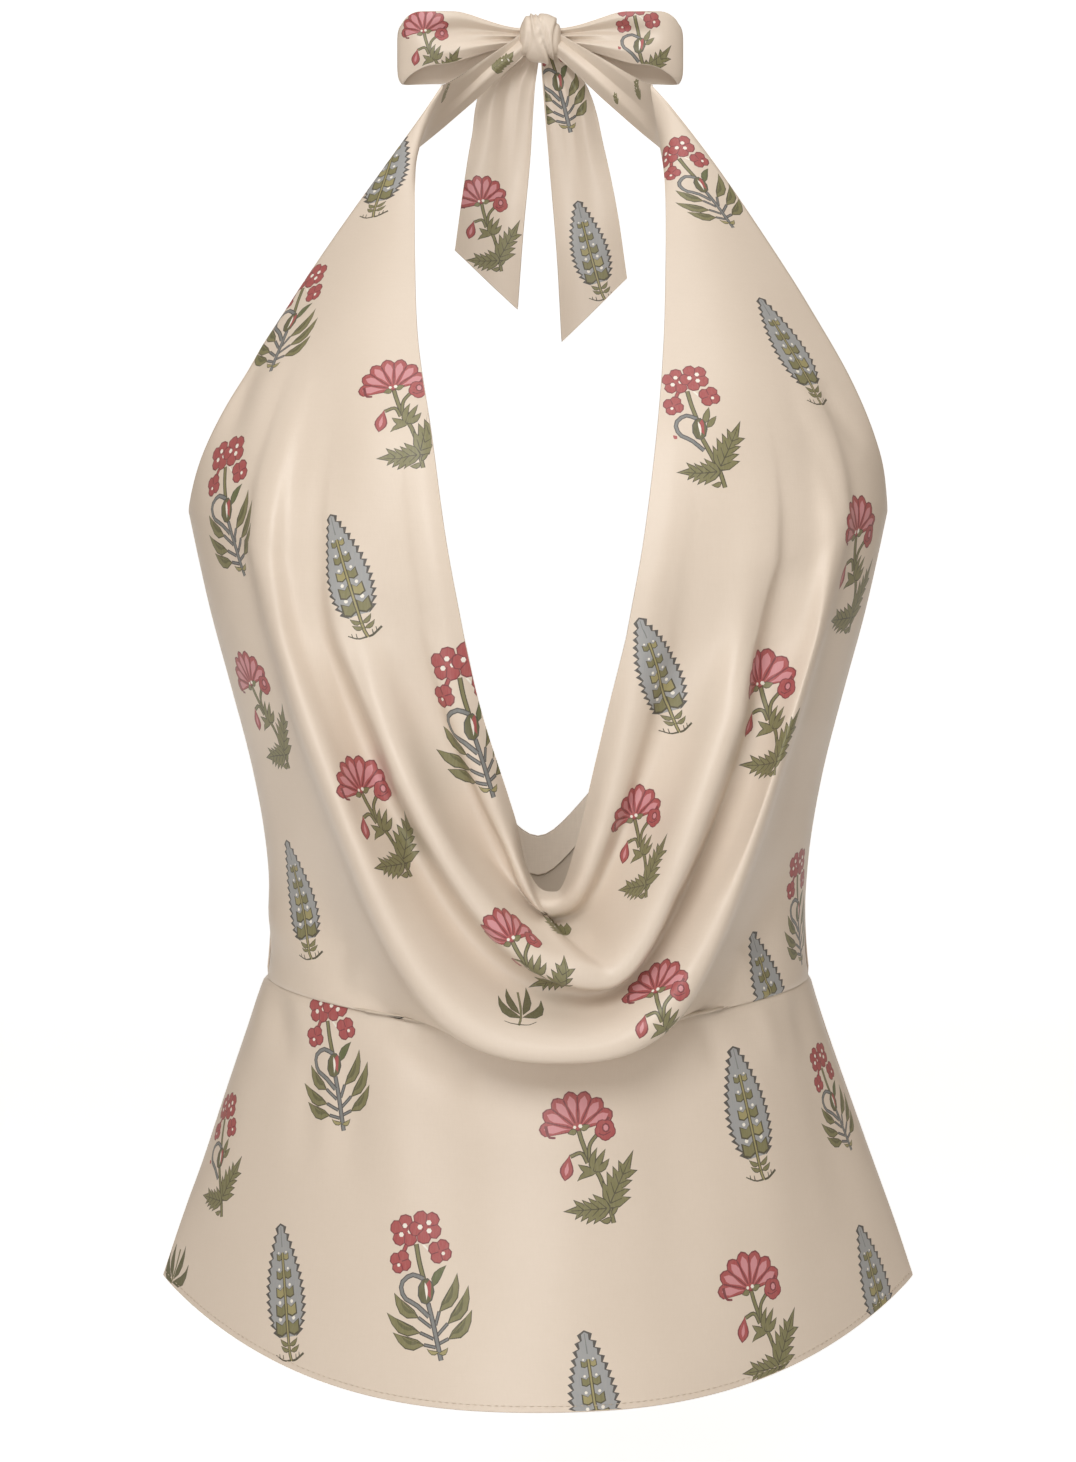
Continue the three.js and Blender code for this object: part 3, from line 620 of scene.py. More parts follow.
def fan_flower():
    """A pink fan of petals over two buds and lobed leaves."""
    motif = Motif()
    base = np.array([-9.5, 20])
    stem(motif, [(-9.5, 20), (-6.5, 9), (-2, -2), (4, -12), (8.5, -23), (12, -36), (15, -49)], 2.2, steps=10)
    stem(motif, [(-2, -4), (-1.5, 8), (5, 17)], 1.6)
    stem(motif, [(-3.5, -5), (-8, 2.5), (-16, 0)], 1.6)
    lobed_leaf(motif, (11.5, -37), (31, 3), 4, 15)
    lobed_leaf(motif, (12, -38), (-21, -40), 4, 13)
    motif.outlined("bark", "olive", [
        ((0, -11), (4, 6), 4, 0.1), ((1, -11), (10, 5), 4, 0), ((2, -11), (12.5, -2), 4.5, -0.1),
        ((1, -11), (-10, -6), 4.5, 0.1), ((3, -12), (-11, -18), 4, -0.15),
        ((13, -45), (5, -47), 3.4, 0.2), ((14, -43), (19, -37), 2.6, 0.1),
    ])
    petals = 7
    low, high = math.radians(14), math.radians(192)
    motif.scallops("wine", base, 28, petals, high, low - high, 0.86, 1.2)
    motif.scallops("red", base, 28, petals, high, low - high, 0.86)
    for petal in range(petals):
        heading = high + (low - high) * (petal + 0.5) / petals
        out = np.array([math.cos(heading), math.sin(heading)])
        motif.blade("pink", base + out * 5, base + out * 25.5, 6.2, 0, 0, fullest=0.72, steps=7)
    for petal in range(1, petals):
        heading = high + (low - high) * petal / petals
        out = np.array([math.cos(heading), math.sin(heading)])
        motif.line("wine", [base + out * 5, base + out * 24], 0.9, 1.3, 2)
    motif.line("wine", [base + (-24, 3), base + (-22, -5), base + (-17, -6)], 2.4, 1.6, 6)
    motif.line("wine", [base + (23, 9), base + (20, 5), base + (16, 6)], 2.2, 1.4, 6)
    motif.outlined("bark", "olive", [((-11, 19), (-17, 17), 4, 0), ((-8, 20), (-1, 23), 4, 0)], 0.6)
    motif.disc("white", (-12.2, 21.6), 1.3, sides=6)
    motif.disc("white", (-8, 22.4), 1.6, sides=6)
    motif.scallops("wine", (10.5, 19.5), 7.6, 5, 0.3, 2 * math.pi, 0.86, 0.8)
    motif.scallops("red", (10.5, 19.5), 7.6, 5, 0.3, 2 * math.pi, 0.86)
    motif.line("wine", [(5.5, 17), (9, 15.5), (14.5, 18)], 1, 0.7, 5)
    motif.disc("wine", (11, 21), 3.1, 3.6, sides=8)
    motif.disc("pink", (11, 21), 1.9, 2.4, sides=7)
    motif.blade("wine", (-16.6, 1), (-20.5, -17), 8.6, 0, 0.9, fullest=0.62, steps=8)
    motif.blade("red", (-16.6, 1), (-20.5, -17), 8, 0, 0, fullest=0.62, steps=8)
    motif.blade("pink", (-17.8, -4), (-19.9, -14), 3, 0, 0, fullest=0.6)
    return motif


def blossom(motif, centre, radius, petals, start=0.0, spread=2 * math.pi, dots=2):
    """A round red flower of several petals with white dots."""
    centre = np.array(centre, float)
    motif.scallops("wine", centre, radius, petals, start, spread, 0.72, 0.9)
    motif.scallops("red", centre, radius, petals, start, spread, 0.72)
    for petal in range(petals):
        heading = start + spread * petal / petals
        out = np.array([math.cos(heading), math.sin(heading)])
        motif.line("wine", [centre + out * radius * 0.15, centre + out * radius * 0.72], 0.8, 0.8, 2)
    for dot in range(dots):
        heading = start + 0.7 + dot * 2.3
        motif.disc("white", centre + radius * 0.34 * np.array([math.cos(heading), math.sin(heading)]),
                   radius * 0.17, sides=6)


def red_cluster(motif):
    """The flower head, curled stem and bud that both plants with red clusters have."""
    stem(motif, [(-9.5, 27), (-7, 15), (-3, 2)], 2)
    stem(motif, [(-3.5, 4), (-12, 6.5), (-19.3, 0.5), (-17, -8.5), (-8, -13.5), (1, -21)], 1.9,
         "dark", "stone", 12)
    motif.line("white", [(-5, 27), (3, 19)], 1.3, 1.1, 4)
    stem(motif, [(-16, 27), (-19.5, 19)], 1.6, "wine", "red", 4)
    blossom(motif, (-17.5, 35.5), 10.4, 5, 0.9, dots=3)
    blossom(motif, (-3.5, 38.5), 10.8, 5, 0.2, dots=3)
    blossom(motif, (-20.5, 15), 7.4, 4, math.radians(200), dots=1)
    blossom(motif, (7, 22.5), 7.8, 4, math.radians(-70), dots=1)
    motif.disc("dark", (-1.8, -4.2), 6, 9)
    motif.disc("moss", (-1.8, -4.2), 5.2, 8.2)
    motif.blade("red", (0.5, 3.6), (1.8, -9), 4.4, -0.12)
    motif.blade("white", (-2.8, 1.8), (-1.2, -10), 2, 0.05)


def slender_plant():
    """Red clusters over a curled stem and slender pointed leaves."""
    motif = Motif()
    pairs = (
        ((5.7, -26.5), (7.9, -17.2), (19, 8)), ((7.2, -33), (14, -25), (27, 0)), ((8.6, -38.5), (15, -35), (30, -16)),
        ((2.9, -28), (-6.5, -21.5), (-24, -6)), ((4.7, -35.5), (-5, -31.5), (-29, -19)), ((6.5, -41), (-2, -39.5), (-24, -32)),
    )
    for start, root, tip in pairs:
        stem(motif, [start, root], 1, "dark", "stone", 4)
    stem(motif, [(0, -12), (3.9, -25), (7.2, -37.5), (10.5, -49.5)], 2, "dark", "stone")
    for start, root, tip in pairs:
        hand = 1 if tip[0] > root[0] else -1
        motif.outlined("bark", "olive", [(root, tip, 7.2, -0.13 * hand)], 0.8)
        motif.line("bark", [root, mix(np.array(root, float), np.array(tip, float), 0.6)], 0.6, 0.3, 4)
        motif.blade("moss", mix(np.array(root, float), np.array(tip, float), 0.15),
                    mix(np.array(root, float), np.array(tip, float), 0.75), 2.6, -0.16 * hand)
    motif.outlined("bark", "green", [((3, -1), (11.5, 13), 5, 0.1)], 0.6)
    motif.outlined("bark", "straw", [((8.5, -44), (0.5, -42), 2.2, 0.2), ((9, -45), (14.5, -41), 2.6, -0.2)], 0.6)
    red_cluster(motif)
    return motif


def lobed_plant():
    """Red clusters over a curled stem and two lobed leaves."""
    motif = Motif()
    stem(motif, [(0, -12), (4, -20), (9, -30), (13, -39), (16, -49)], 2.2)
    lobed_leaf(motif, (12, -35), (29, 2), 4, 14)
    lobed_leaf(motif, (12, -37), (-19, -38), 4, 12)
    motif.outlined("bark", "olive", [
        ((2, 0), (6, 13), 4.4, 0), ((4, -3), (11, 6), 4, 0), ((13, -45), (6, -47), 3.2, 0.2),
    ], 0.6)
    red_cluster(motif)
    motif.blade("red", (-19, -12), (-22, -9), 3)
    return motif


def saw_leaf():
    """A grey upright leaf with toothed edges, paired olive leaves inside and a sprig of ground."""
    motif = Motif()
    root = np.array([5.5, -31])
    tip = np.array([-7, 50])
    along = tip - root
    length = np.hypot(*along)
    along /= length
    side = np.array([-along[1], along[0]])

    def half(place):
        return 15.5 * math.sin(math.pi * min(1, place * 0.93 + 0.07) ** 0.72) ** 0.85 + 0.4

    def edge(extra, tooth):
        teeth = 14
        ring = []
        for hand in (1, -1):
            points = []
            for step in range(teeth):
                low = step / teeth
                points.append(root + along * length * low + side * hand * (half(low) + extra))
                up = low + 0.75 / teeth
                points.append(root + along * length * up + side * hand * (half(up) + extra + tooth))
            ring.extend(points if hand > 0 else points[::-1])
            if hand > 0:
                ring.append(tip + along * (1.2 + extra))
        return ring

    motif.ring("dark", edge(0.5, 3.9))
    motif.ring("grey", edge(-0.9, 2.2))
    motif.line("stone", [root + along * 66, tip - along * 1], 1.0, 0.5, 5)
    for row in range(5):
        place = root + along * (7 + 13 * row)
        size = 1 - 0.13 * row
        for hand in (-1, 1):
            centre = place + side * hand * (5.4 * size + 0.8)
            shape = np.array([(-4.4, -3.4), (0, -5.2), (4.6, -3), (4.2, 4.6), (0.6, 1.6), (-4.2, 4.4)]) * size
            shape = shape * (hand, 1)
            motif.ring("bark", centre + turned(shape * 1.3, 0.15))
            motif.ring("olive" if (row + hand) % 3 else "straw", centre + turned(shape, 0.15))
            motif.disc("white", centre + along * 6.4 * size + side * hand * 0.4, 1.7 * size, sides=6)
    stem(motif, [(9.5, -48.5), (6.5, -38), root + along * 30, root + along * 62], 1.4, "bark", "straw")
    motif.outlined("bark", "olive", [
        ((6, -37), (-2, -33), 2.8, 0.15), ((7, -41), (-1, -38), 2.6, 0.15),
        ((7, -37), (14, -31), 2.8, -0.15), ((8.5, -41), (16, -36), 2.8, -0.15),
    ], 0.6)
    motif.line("bark", [(9, -48), (2, -48.5), (-6, -45)], 1.4, 0.8, 6)
    motif.line("bark", [(10, -48), (14, -47), (21, -42)], 1.6, 1.8, 6)
    for x, z in ((-2, -47.5), (1.5, -48), (14, -46.5), (17, -45)):
        motif.line("bark", [(x, z), (x - 0.6, z + 3.6)], 1, 0.6, 3)
    return motif


def sprig():
    """A small lobed leaf, as where the print's edge is caught in a narrow piece."""
    motif = Motif()
    lobed_leaf(motif, (0, -46), (2, 34), 5, 30)
    motif.disc("white", (-3, -6), 3, sides=6)
    motif.disc("white", (5, 8), 2.6, sides=6)
    return motif


def shoot():
    """The dark leaves at the foot of a plant, as where a fold hides its flower."""
    motif = Motif()
    motif.outlined("bark", "moss", [
        ((2, -30), (-34, 22), 17, 0.2), ((4, -28), (50, 14), 17, -0.25), ((0, -20), (-14, 40), 13, 0.1),
        ((6, -22), (26, 44), 13, -0.1),
    ], 1.6)
    stem(motif, [(-8, -48), (0, -30), (6, 0), (8, 34)], 3, "bark", "olive")
    motif.line("bark", [(-6, -46), (-22, -42), (-34, -36)], 2.6, 1.4, 5)
    motif.line("bark", [(-6, -46), (12, -48), (28, -42)], 2.6, 1.4, 5)
    return motif


MOTIFS = {
    "sprig": sprig, "shoot": shoot, "fan": fan_flower, "slender": slender_plant, "lobed": lobed_plant,
    "leaf": saw_leaf,
}

# Where the print shows on the front, in the photograph's pixels: kind, centre, lean to the right in
# degrees, and height in millimetres.
FRONT_PRINT = (
    ("leaf", 388, 172, -3, 54), ("slender", 296, 315, 2, 58), ("fan", 405, 412, 0, 52),
    ("slender", 230, 505, -6, 62), ("leaf", 345, 578, -10, 54), ("fan", 261, 708, -6, 54),
    ("slender", 476, 720, 0, 66), ("fan", 378, 818, 0, 56), ("leaf", 302, 898, -6, 52),
    ("fan", 530, 965, -8, 54), ("fan", 641, 842, -9, 50), ("leaf", 660, 680, -19, 52),
    ("fan", 772, 716, -3, 56), ("fan", 857, 563, 2, 62), ("leaf", 792, 350, 0, 54),
    ("lobed", 703, 425, 0, 56), ("slender", 702, 182, -4, 54), ("slender", 800, 905, 0, 52),
    ("leaf", 770, 994, -18, 54), ("fan", 668, 1016, 2, 54), ("shoot", 517, 1004, 4, 22),
    ("sprig", 556, 925, -25, 20),
)
FRONT_PEPLUM_PRINT = (
    ("slender", 336, 1058, 0, 60), ("lobed", 226, 1153, 5, 54), ("leaf", 284, 1290, -6, 58),
    ("slender", 431, 1283, -2, 63), ("fan", 596, 1158, 0, 57), ("leaf", 748, 1116, -1, 58),
    ("slender", 838, 1098, -4, 50), ("fan", 758, 1314, 2, 58), ("leaf", 876, 1288, -6, 58),
    ("leaf", 588, 1396, 2, 56), ("shoot", 172, 1268, 8, 24),
)
# On the back the places are x and z in millimetres.
BACK_PRINT = (
    ("leaf", -120, -262, 0, 54), ("fan", -72, -300, 0, 56), ("slender", -108, -345, 0, 60),
    ("leaf", -40, -372, 0, 56), ("fan", -88, -408, 0, 56), ("slender", 4, -400, 0, 62),
    ("fan", 120, -258, 0, 56), ("leaf", 74, -318, 0, 56), ("slender", 108, -362, 0, 62),
    ("fan", 50, -392, 0, 56), ("leaf", 92, -420, 0, 54),
)
BACK_PEPLUM_PRINT = (
    ("slender", -112, -468, 0, 62), ("fan", -58, -470, 0, 57), ("leaf", -8, -460, 0, 58),
    ("lobed", 44, -482, 0, 58), ("leaf", 98, -470, 0, 58), ("fan", 136, -520, 0, 57),
    ("leaf", -136, -530, 0, 58), ("slender", -84, -530, 0, 64), ("fan", -30, -540, 0, 57),
    ("slender", 18, -552, 0, 60), ("leaf", 66, -552, 0, 58), ("fan", 104, -562, 0, 57),
)


class Surface:
    """A grid of cloth on which print can be laid, read at places counted in rows and columns."""

    def __init__(self, grid, normals):
        self.grid = grid
        self.normals = normals
        self.over = np.gradient(grid, axis=0)
        self.along = np.gradient(grid, axis=1)
        self.last = np.array(grid.shape[:2]) - 1

    def read(self, values, places):
        cell = np.minimum(np.floor(places).astype(int), self.last - 1)
        cell = np.maximum(cell, 0)
        share = places - cell
        i, j = cell[:, 0], cell[:, 1]
        s, t = share[:, :1], share[:, 1:]
        return ((values[i, j] * (1 - t) + values[i, j + 1] * t) * (1 - s)
                + (values[i + 1, j] * (1 - t) + values[i + 1, j + 1] * t) * s)

    def spread(self, place, lean, points, steps=36):
        """Where flat points land when they are laid on the cloth round one place."""
        here = np.array([place], float)
        normal = self.read(self.normals, here)[0]
        normal /= np.linalg.norm(normal)
        up = np.array([math.sin(lean), 0, math.cos(lean)])
        up -= normal * np.dot(up, normal)
        up /= np.linalg.norm(up)
        right = np.cross(up, normal)
        length = np.hypot(points[:, 0], points[:, 1])
        heading = (points[:, :1] * right + points[:, 1:] * up) / np.maximum(length, 1e-9)[:, None]
        places = np.repeat(here, len(points), 0)
        step = (length / steps)[:, None]
        margin = 0.03
        for _ in range(steps):
            over = self.read(self.over, places)
            along = self.read(self.along, places)
            a = np.sum(over * over, 1)
            b = np.sum(over * along, 1)
            c = np.sum(along * along, 1)
            p = np.sum(over * heading, 1)
            q = np.sum(along * heading, 1)
            size = np.maximum(a * c - b * b, 1e-9)
            di = (c * p - b * q) / size
            dj = (a * q - b * p) / size
            flat = over * di[:, None] + along * dj[:, None]
            scale = 1 / np.maximum(np.linalg.norm(flat, axis=1), 1e-6)
            heading = flat * scale[:, None]
            places = places + np.stack([di * scale, dj * scale], -1) * step
            places = np.clip(places, margin, self.last - margin)
        return places


def in_photo(grid):
    """Pixels at which the camera sees points of the top."""
    place = np.array(CAMERA_PLACE) * 1000
    target = np.array(CAMERA_TARGET) * 1000
    forward = target - place
    forward /= np.linalg.norm(forward)
    right = np.array([1.0, 0, 0])
    up = np.cross(right, forward)
    offset = grid - (0, NAPE_DEPTH, 0) - place
    depth = offset @ forward
    focal = CAMERA_LENS / SENSOR * PHOTO_HEIGHT
    return np.stack([
        PHOTO_WIDTH / 2 + offset @ right / depth * focal,
        PHOTO_HEIGHT / 2 - offset @ up / depth * focal,
        depth,
    ], -1)


def off_photo(path):
    """Turns a path in pixels into x and z on an upright plane through the front of the top."""
    place = np.array(CAMERA_PLACE) * 1000
    forward = np.array(CAMERA_TARGET) * 1000 - place
    forward /= np.linalg.norm(forward)
    right = np.array([1.0, 0, 0])
    up = np.cross(right, forward)
    focal = CAMERA_LENS / SENSOR * PHOTO_HEIGHT
    points = []
    for x, y in path:
        ray = forward * focal + right * (x - PHOTO_WIDTH / 2) + up * (PHOTO_HEIGHT / 2 - y)
        seen = place + ray * (CREASE_PLANE - NAPE_DEPTH - place[1]) / ray[1]
        points.append((seen[0], seen[2]))
    return points


def overlapped(grid, path, ahead, behind, tuck):
    """Brings the cloth forward on the left of a path seen from the front, and tucks the rest behind it."""
    points = off_photo(path)
    distance, place = near_path(grid[..., 0], grid[..., 2], points)
    strength = ease(0.1, 0.36, place) * ease(1, 0.8, place)
    left = 0.5 - 0.5 * np.tanh(distance / OVERLAP_EDGE)
    forward = ahead * np.exp(-(distance / OVERLAP_NEAR) ** 2) * left
    back = behind * np.exp(-(distance / OVERLAP_FAR) ** 2) * (1 - left)
    along = np.array(points[-1]) - np.array(points[0])
    along /= np.hypot(*along)
    under = tuck * np.exp(-((distance - tuck) / tuck) ** 2) * (1 - left) * strength
    moved = grid.copy()
    moved[..., 0] += along[1] * under
    moved[..., 1] += (back - forward) * strength
    moved[..., 2] -= along[0] * under
    return moved


def creased(grid, hub, creases, from_photo):
    for path, width, height, fade in creases:
        path = off_photo(path) if from_photo else path
        grid = crease(grid, normals_of(grid, hub), path, width, height, fade)
    return grid


def seen_place(surface, x, y):
    """The row and column of the cloth that the camera sees at a pixel."""
    pixels = in_photo(surface.grid)
    distance = np.hypot(pixels[..., 0] - x, pixels[..., 1] - y)
    facing = surface.normals[..., 1] < 0.15
    cost = distance + np.where(facing, 0, 200) + (pixels[..., 2] - pixels[..., 2].min()) * 0.06
    return np.unravel_index(np.argmin(cost), cost.shape)


def flat_place(surface, x, z, facing):
    cost = np.hypot(surface.grid[..., 0] - x, surface.grid[..., 2] - z)
    cost = cost + np.where(surface.normals[..., 1] * facing > 0, 0, 200)
    return np.unravel_index(np.argmin(cost), cost.shape)


def inside(points, ring):
    x, y = points[:, :1], points[:, 1:]
    x0, y0 = ring[:, 0], ring[:, 1]
    x1, y1 = np.roll(x0, -1), np.roll(y0, -1)
    side = (x1 - x0) * (y - y0) - (x - x0) * (y1 - y0)
    up = (y0 <= y) & (y1 > y) & (side > 0)
    down = (y0 > y) & (y1 <= y) & (side < 0)
    return up.sum(1) != down.sum(1)


def touched(ring, last):
    """The cells that a ring touches, and those beside them."""
    low = np.maximum(np.floor(ring.min(0) - CELL_MARGIN).astype(int), 0)
    high = np.minimum(np.floor(ring.max(0) + CELL_MARGIN).astype(int), last - 1)
    return {(i, j) for i in range(low[0], high[0] + 1) for j in range(low[1], high[1] + 1)}


def printed_cells(surface, prints):
    """Cuts print into the cloth's cells: groups of cells, each with its rings of ink."""
    groups = []
    for place, lean, height, kind in prints:
        motif = MOTIFS[kind]()
        flat = [points * height / 100 for _, points in motif.rings]
        sizes = [len(points) for points in flat]
        laid = surface.spread(place, math.radians(lean), np.concatenate(flat))
        rings = []
        cells = set()
        start = 0
        for (ink, _), size in zip(motif.rings, sizes):
            ring = laid[start:start + size]
            start += size
            if np.ptp(ring[:, 0]) < 0.02 or np.ptp(ring[:, 1]) < 0.02:
                continue
            rings.append((ink, ring))
            cells |= touched(ring, surface.last)
        merged = [group for group in groups if group[0] & cells]
        groups = [group for group in groups if not group[0] & cells]
        for group in merged:
            cells |= group[0]
            rings = group[1] + rings
        groups.append((cells, rings))
    return groups


def cut_cells(surface, cells, rings):
    """Triangles over a group of cells, each with its ink. Corners are rows and columns."""
    scale = np.array([
        max(np.median(np.linalg.norm(surface.over[i, j])) for i, j in list(cells)[:40]),
        max(np.median(np.linalg.norm(surface.along[i, j])) for i, j in list(cells)[:40]),
    ])
    corners = {}
    points = []
    edges = []
    faces = []

    def corner(i, j):
        if (i, j) not in corners:
            corners[i, j] = len(points)
            points.append((j * scale[1], i * scale[0]))
        return corners[i, j]

    for i, j in sorted(cells):
        faces.append([corner(i, j), corner(i, j + 1), corner(i + 1, j + 1), corner(i + 1, j)])
    for _, ring in rings:
        start = len(points)
        points.extend((j * scale[1], i * scale[0]) for i, j in ring)
        count = len(ring)
        edges.extend((start + k, start + (k + 1) % count) for k in range(count))
    vectors = [Vector(point) for point in points]
    out, _, out_faces, origins, _, _ = delaunay_2d_cdt(vectors, edges, faces, 1, 0.004, True)
    places = np.array([(p.y / scale[0], p.x / scale[1]) for p in out])
    triangles = np.array([list(face)[:3] for face in out_faces])
    middles = places[triangles].mean(1)
    held = np.array([(int(i), int(j)) in cells for i, j in middles])
    triangles, middles = triangles[held], middles[held]
    colours = np.full(len(triangles), -1)
    names = list(INKS)
    for ink, ring in rings:
        low, high = ring.min(0), ring.max(0)
        near = np.where(np.all((middles >= low) & (middles <= high), axis=1))[0]
        if len(near):
            hit = near[inside(middles[near], ring)]
            colours[hit] = names.index(ink)
    by_point = {}
    reverse = {index: key for key, index in corners.items()}
    for index, origin in enumerate(origins):
        for source in origin:
            if source in reverse:
                by_point[index] = reverse[source]
    return places, triangles, colours, by_point


class Shell:
    """Collects points, faces, normals and inks of a piece of cloth with two faces and a rolled edge."""

    def __init__(self):
        self.points = []
        self.normals = []
        self.faces = []
        self.inks = []
        self.slots = []
        self.count = 0

    def add_points(self, points, normals):
        start = self.count
        self.points.append(points.reshape(-1, 3))
        self.normals.append(normals.reshape(-1, 3))
        self.count += self.points[-1].shape[0]
        return start

    def add_faces(self, faces, inks, slot):
        self.faces.append(np.asarray(faces, int))
        self.inks.append(np.asarray(inks, int))
        self.slots.append(np.full(len(faces), slot))

    def side(self, surface, laid, prints, slot, flip):
        """One face of the cloth, with its print cut in. Gives the number of its first point."""
        rows, columns = surface.grid.shape[:2]
        start = self.add_points(surface.grid, surface.normals)
        keep = np.ones((rows - 1, columns - 1), bool)
        for cells, rings in printed_cells(laid, prints):
            places, triangles, colours, by_point = cut_cells(surface, cells, rings)
            for i, j in cells:
                keep[i, j] = False
            points = surface.read(surface.grid, places)
            normals = surface.read(surface.normals, places)
            normals /= np.maximum(np.linalg.norm(normals, axis=1, keepdims=True), 1e-9)
            new = np.array([index not in by_point for index in range(len(places))])
            numbers = np.zeros(len(places), int)
            first = self.add_points(points[new], normals[new])
            numbers[new] = first + np.arange(new.sum())
            for index, (i, j) in by_point.items():
                numbers[index] = start + i * columns + j
            faces = numbers[triangles]
            whole = ((faces[:, 0] != faces[:, 1]) & (faces[:, 1] != faces[:, 2]) & (faces[:, 0] != faces[:, 2]))
            faces = faces[whole]
            self.add_faces(faces[:, ::-1] if flip else faces, colours[whole], slot)
        i, j = np.where(keep)
        corner = start + i * columns + j
        one = np.stack([corner, corner + 1, corner + columns + 1], -1)
        two = np.stack([corner, corner + columns + 1, corner + columns], -1)
        faces = np.concatenate([one, two])
        self.add_faces(faces[:, ::-1] if flip else faces, np.full(len(faces), -1), slot)
        return start

    def build(self, name, materials, body="root"):
        points = np.concatenate(self.points) / 1000
        points[:, 1] -= NAPE_DEPTH / 1000
        normals = np.concatenate(self.normals)
        faces = np.concatenate(self.faces)
        inks = np.concatenate(self.inks)
        slots = np.concatenate(self.slots)
        mesh = bpy.data.meshes.new(name)
        mesh.from_pydata(points.tolist(), [], faces.tolist())
        for material in materials:
            mesh.materials.append(material)
        mesh.polygons.foreach_set("material_index", slots)
        mesh.polygons.foreach_set("use_smooth", np.ones(len(faces), bool))
        table = np.array([(*colour, 1.0) for colour in INKS.values()] + [(0, 0, 0, 0)])
        colours = mesh.color_attributes.new("print", "FLOAT_COLOR", "CORNER")
        colours.data.foreach_set("color", np.repeat(table[inks], 3, axis=0).ravel())
        mesh.validate(clean_customdata=False)
        mesh.normals_split_custom_set_from_vertices(normals.tolist())
        mesh.update()
        piece = bpy.data.objects.new(name, mesh)
        bpy.context.scene.collection.objects.link(piece)
        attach(piece, body)
        return piece


def border(rows, columns):
    """The corners round a grid's edge, in order."""
    top = [(0, j) for j in range(columns - 1)]
    right = [(i, columns - 1) for i in range(rows - 1)]
    bottom = [(rows - 1, j) for j in range(columns - 1, 0, -1)]
    left = [(i, 0) for i in range(rows - 1, 0, -1)]
    return top + right + bottom + left


def make_cloth(name, grid, hub, materials, prints=(), inner_prints=(), thickness=CLOTH, smooth=None):
    """Makes a piece of cloth from the grid of its outer face. Print is laid on its form without creases."""
    smooth = grid if smooth is None else smooth
    normals = normals_of(grid, hub)
    rows, columns = grid.shape[:2]
    natural = np.cross(np.gradient(grid, axis=1), np.gradient(grid, axis=0))
    flip = np.sum(natural * normals) < 0
    outer = Surface(grid, normals)
    inner = Surface(grid - normals * thickness, -normals)
    plain = normals_of(smooth, hub)
    shell = Shell()
    starts = []
    for surface, laid, side_prints, slot in (
        (outer, Surface(smooth, plain), prints, 0), (inner, Surface(smooth, -plain), inner_prints, 1),
    ):
        placed = [(finder(laid), lean, height, kind) for kind, finder, lean, height in side_prints]
        starts.append(shell.side(surface, laid, placed, slot, flip if slot == 0 else not flip))
    front, back = starts
    ring = border(rows, columns)
    index = np.array([i * columns + j for i, j in ring])
    i, j = np.array(ring).T
    edge = grid[i, j]
    inward = grid[np.clip(i, 1, rows - 2), np.clip(j, 1, columns - 2)]
    outward = edge - inward
    outward -= normals[i, j] * np.sum(outward * normals[i, j], axis=1, keepdims=True)
    outward /= np.maximum(np.linalg.norm(outward, axis=1, keepdims=True), 1e-9)
    middle = edge - normals[i, j] * thickness / 2 + outward * EDGE_ROLL
    start = shell.add_points(middle, outward)
    here = np.arange(len(ring))
    after = np.roll(here, -1)
    faces = []
    for upper, lower in ((front + index, start + here), (start + here, back + index)):
        faces.append(np.stack([upper, lower, lower[after]], -1))
        faces.append(np.stack([upper, lower[after], upper[after]], -1))
    faces = np.concatenate(faces)
    shell.add_faces(faces[:, ::-1] if flip else faces, np.full(len(faces), -1), 0)
    return shell.build(name, materials)


# Shaders.

class Value:
    """A shader socket that can be used in Python sums."""

    def __init__(self, tree, socket):
        self.tree = tree
        self.socket = socket

    def sum_with(self, operation, *others, swapped=False):
        node = self.tree.nodes.new("ShaderNodeMath")
        node.operation = operation
        terms = [self, *others]
        if swapped:
            terms.reverse()
        for socket, term in zip(node.inputs, terms):
            if isinstance(term, Value):
                self.tree.links.new(term.socket, socket)
            else:
                socket.default_value = term
        return Value(self.tree, node.outputs[0])

    def __add__(self, other):
        return self.sum_with("ADD", other)

    __radd__ = __add__

    def __mul__(self, other):
        return self.sum_with("MULTIPLY", other)

    __rmul__ = __mul__

    def __sub__(self, other):
        return self.sum_with("SUBTRACT", other)

    def __rsub__(self, other):
        return self.sum_with("SUBTRACT", other, swapped=True)

    def __truediv__(self, other):
        return self.sum_with("DIVIDE", other)

    def __pow__(self, other):
        return self.sum_with("POWER", other)

    def sine(self):
        return self.sum_with("SINE")


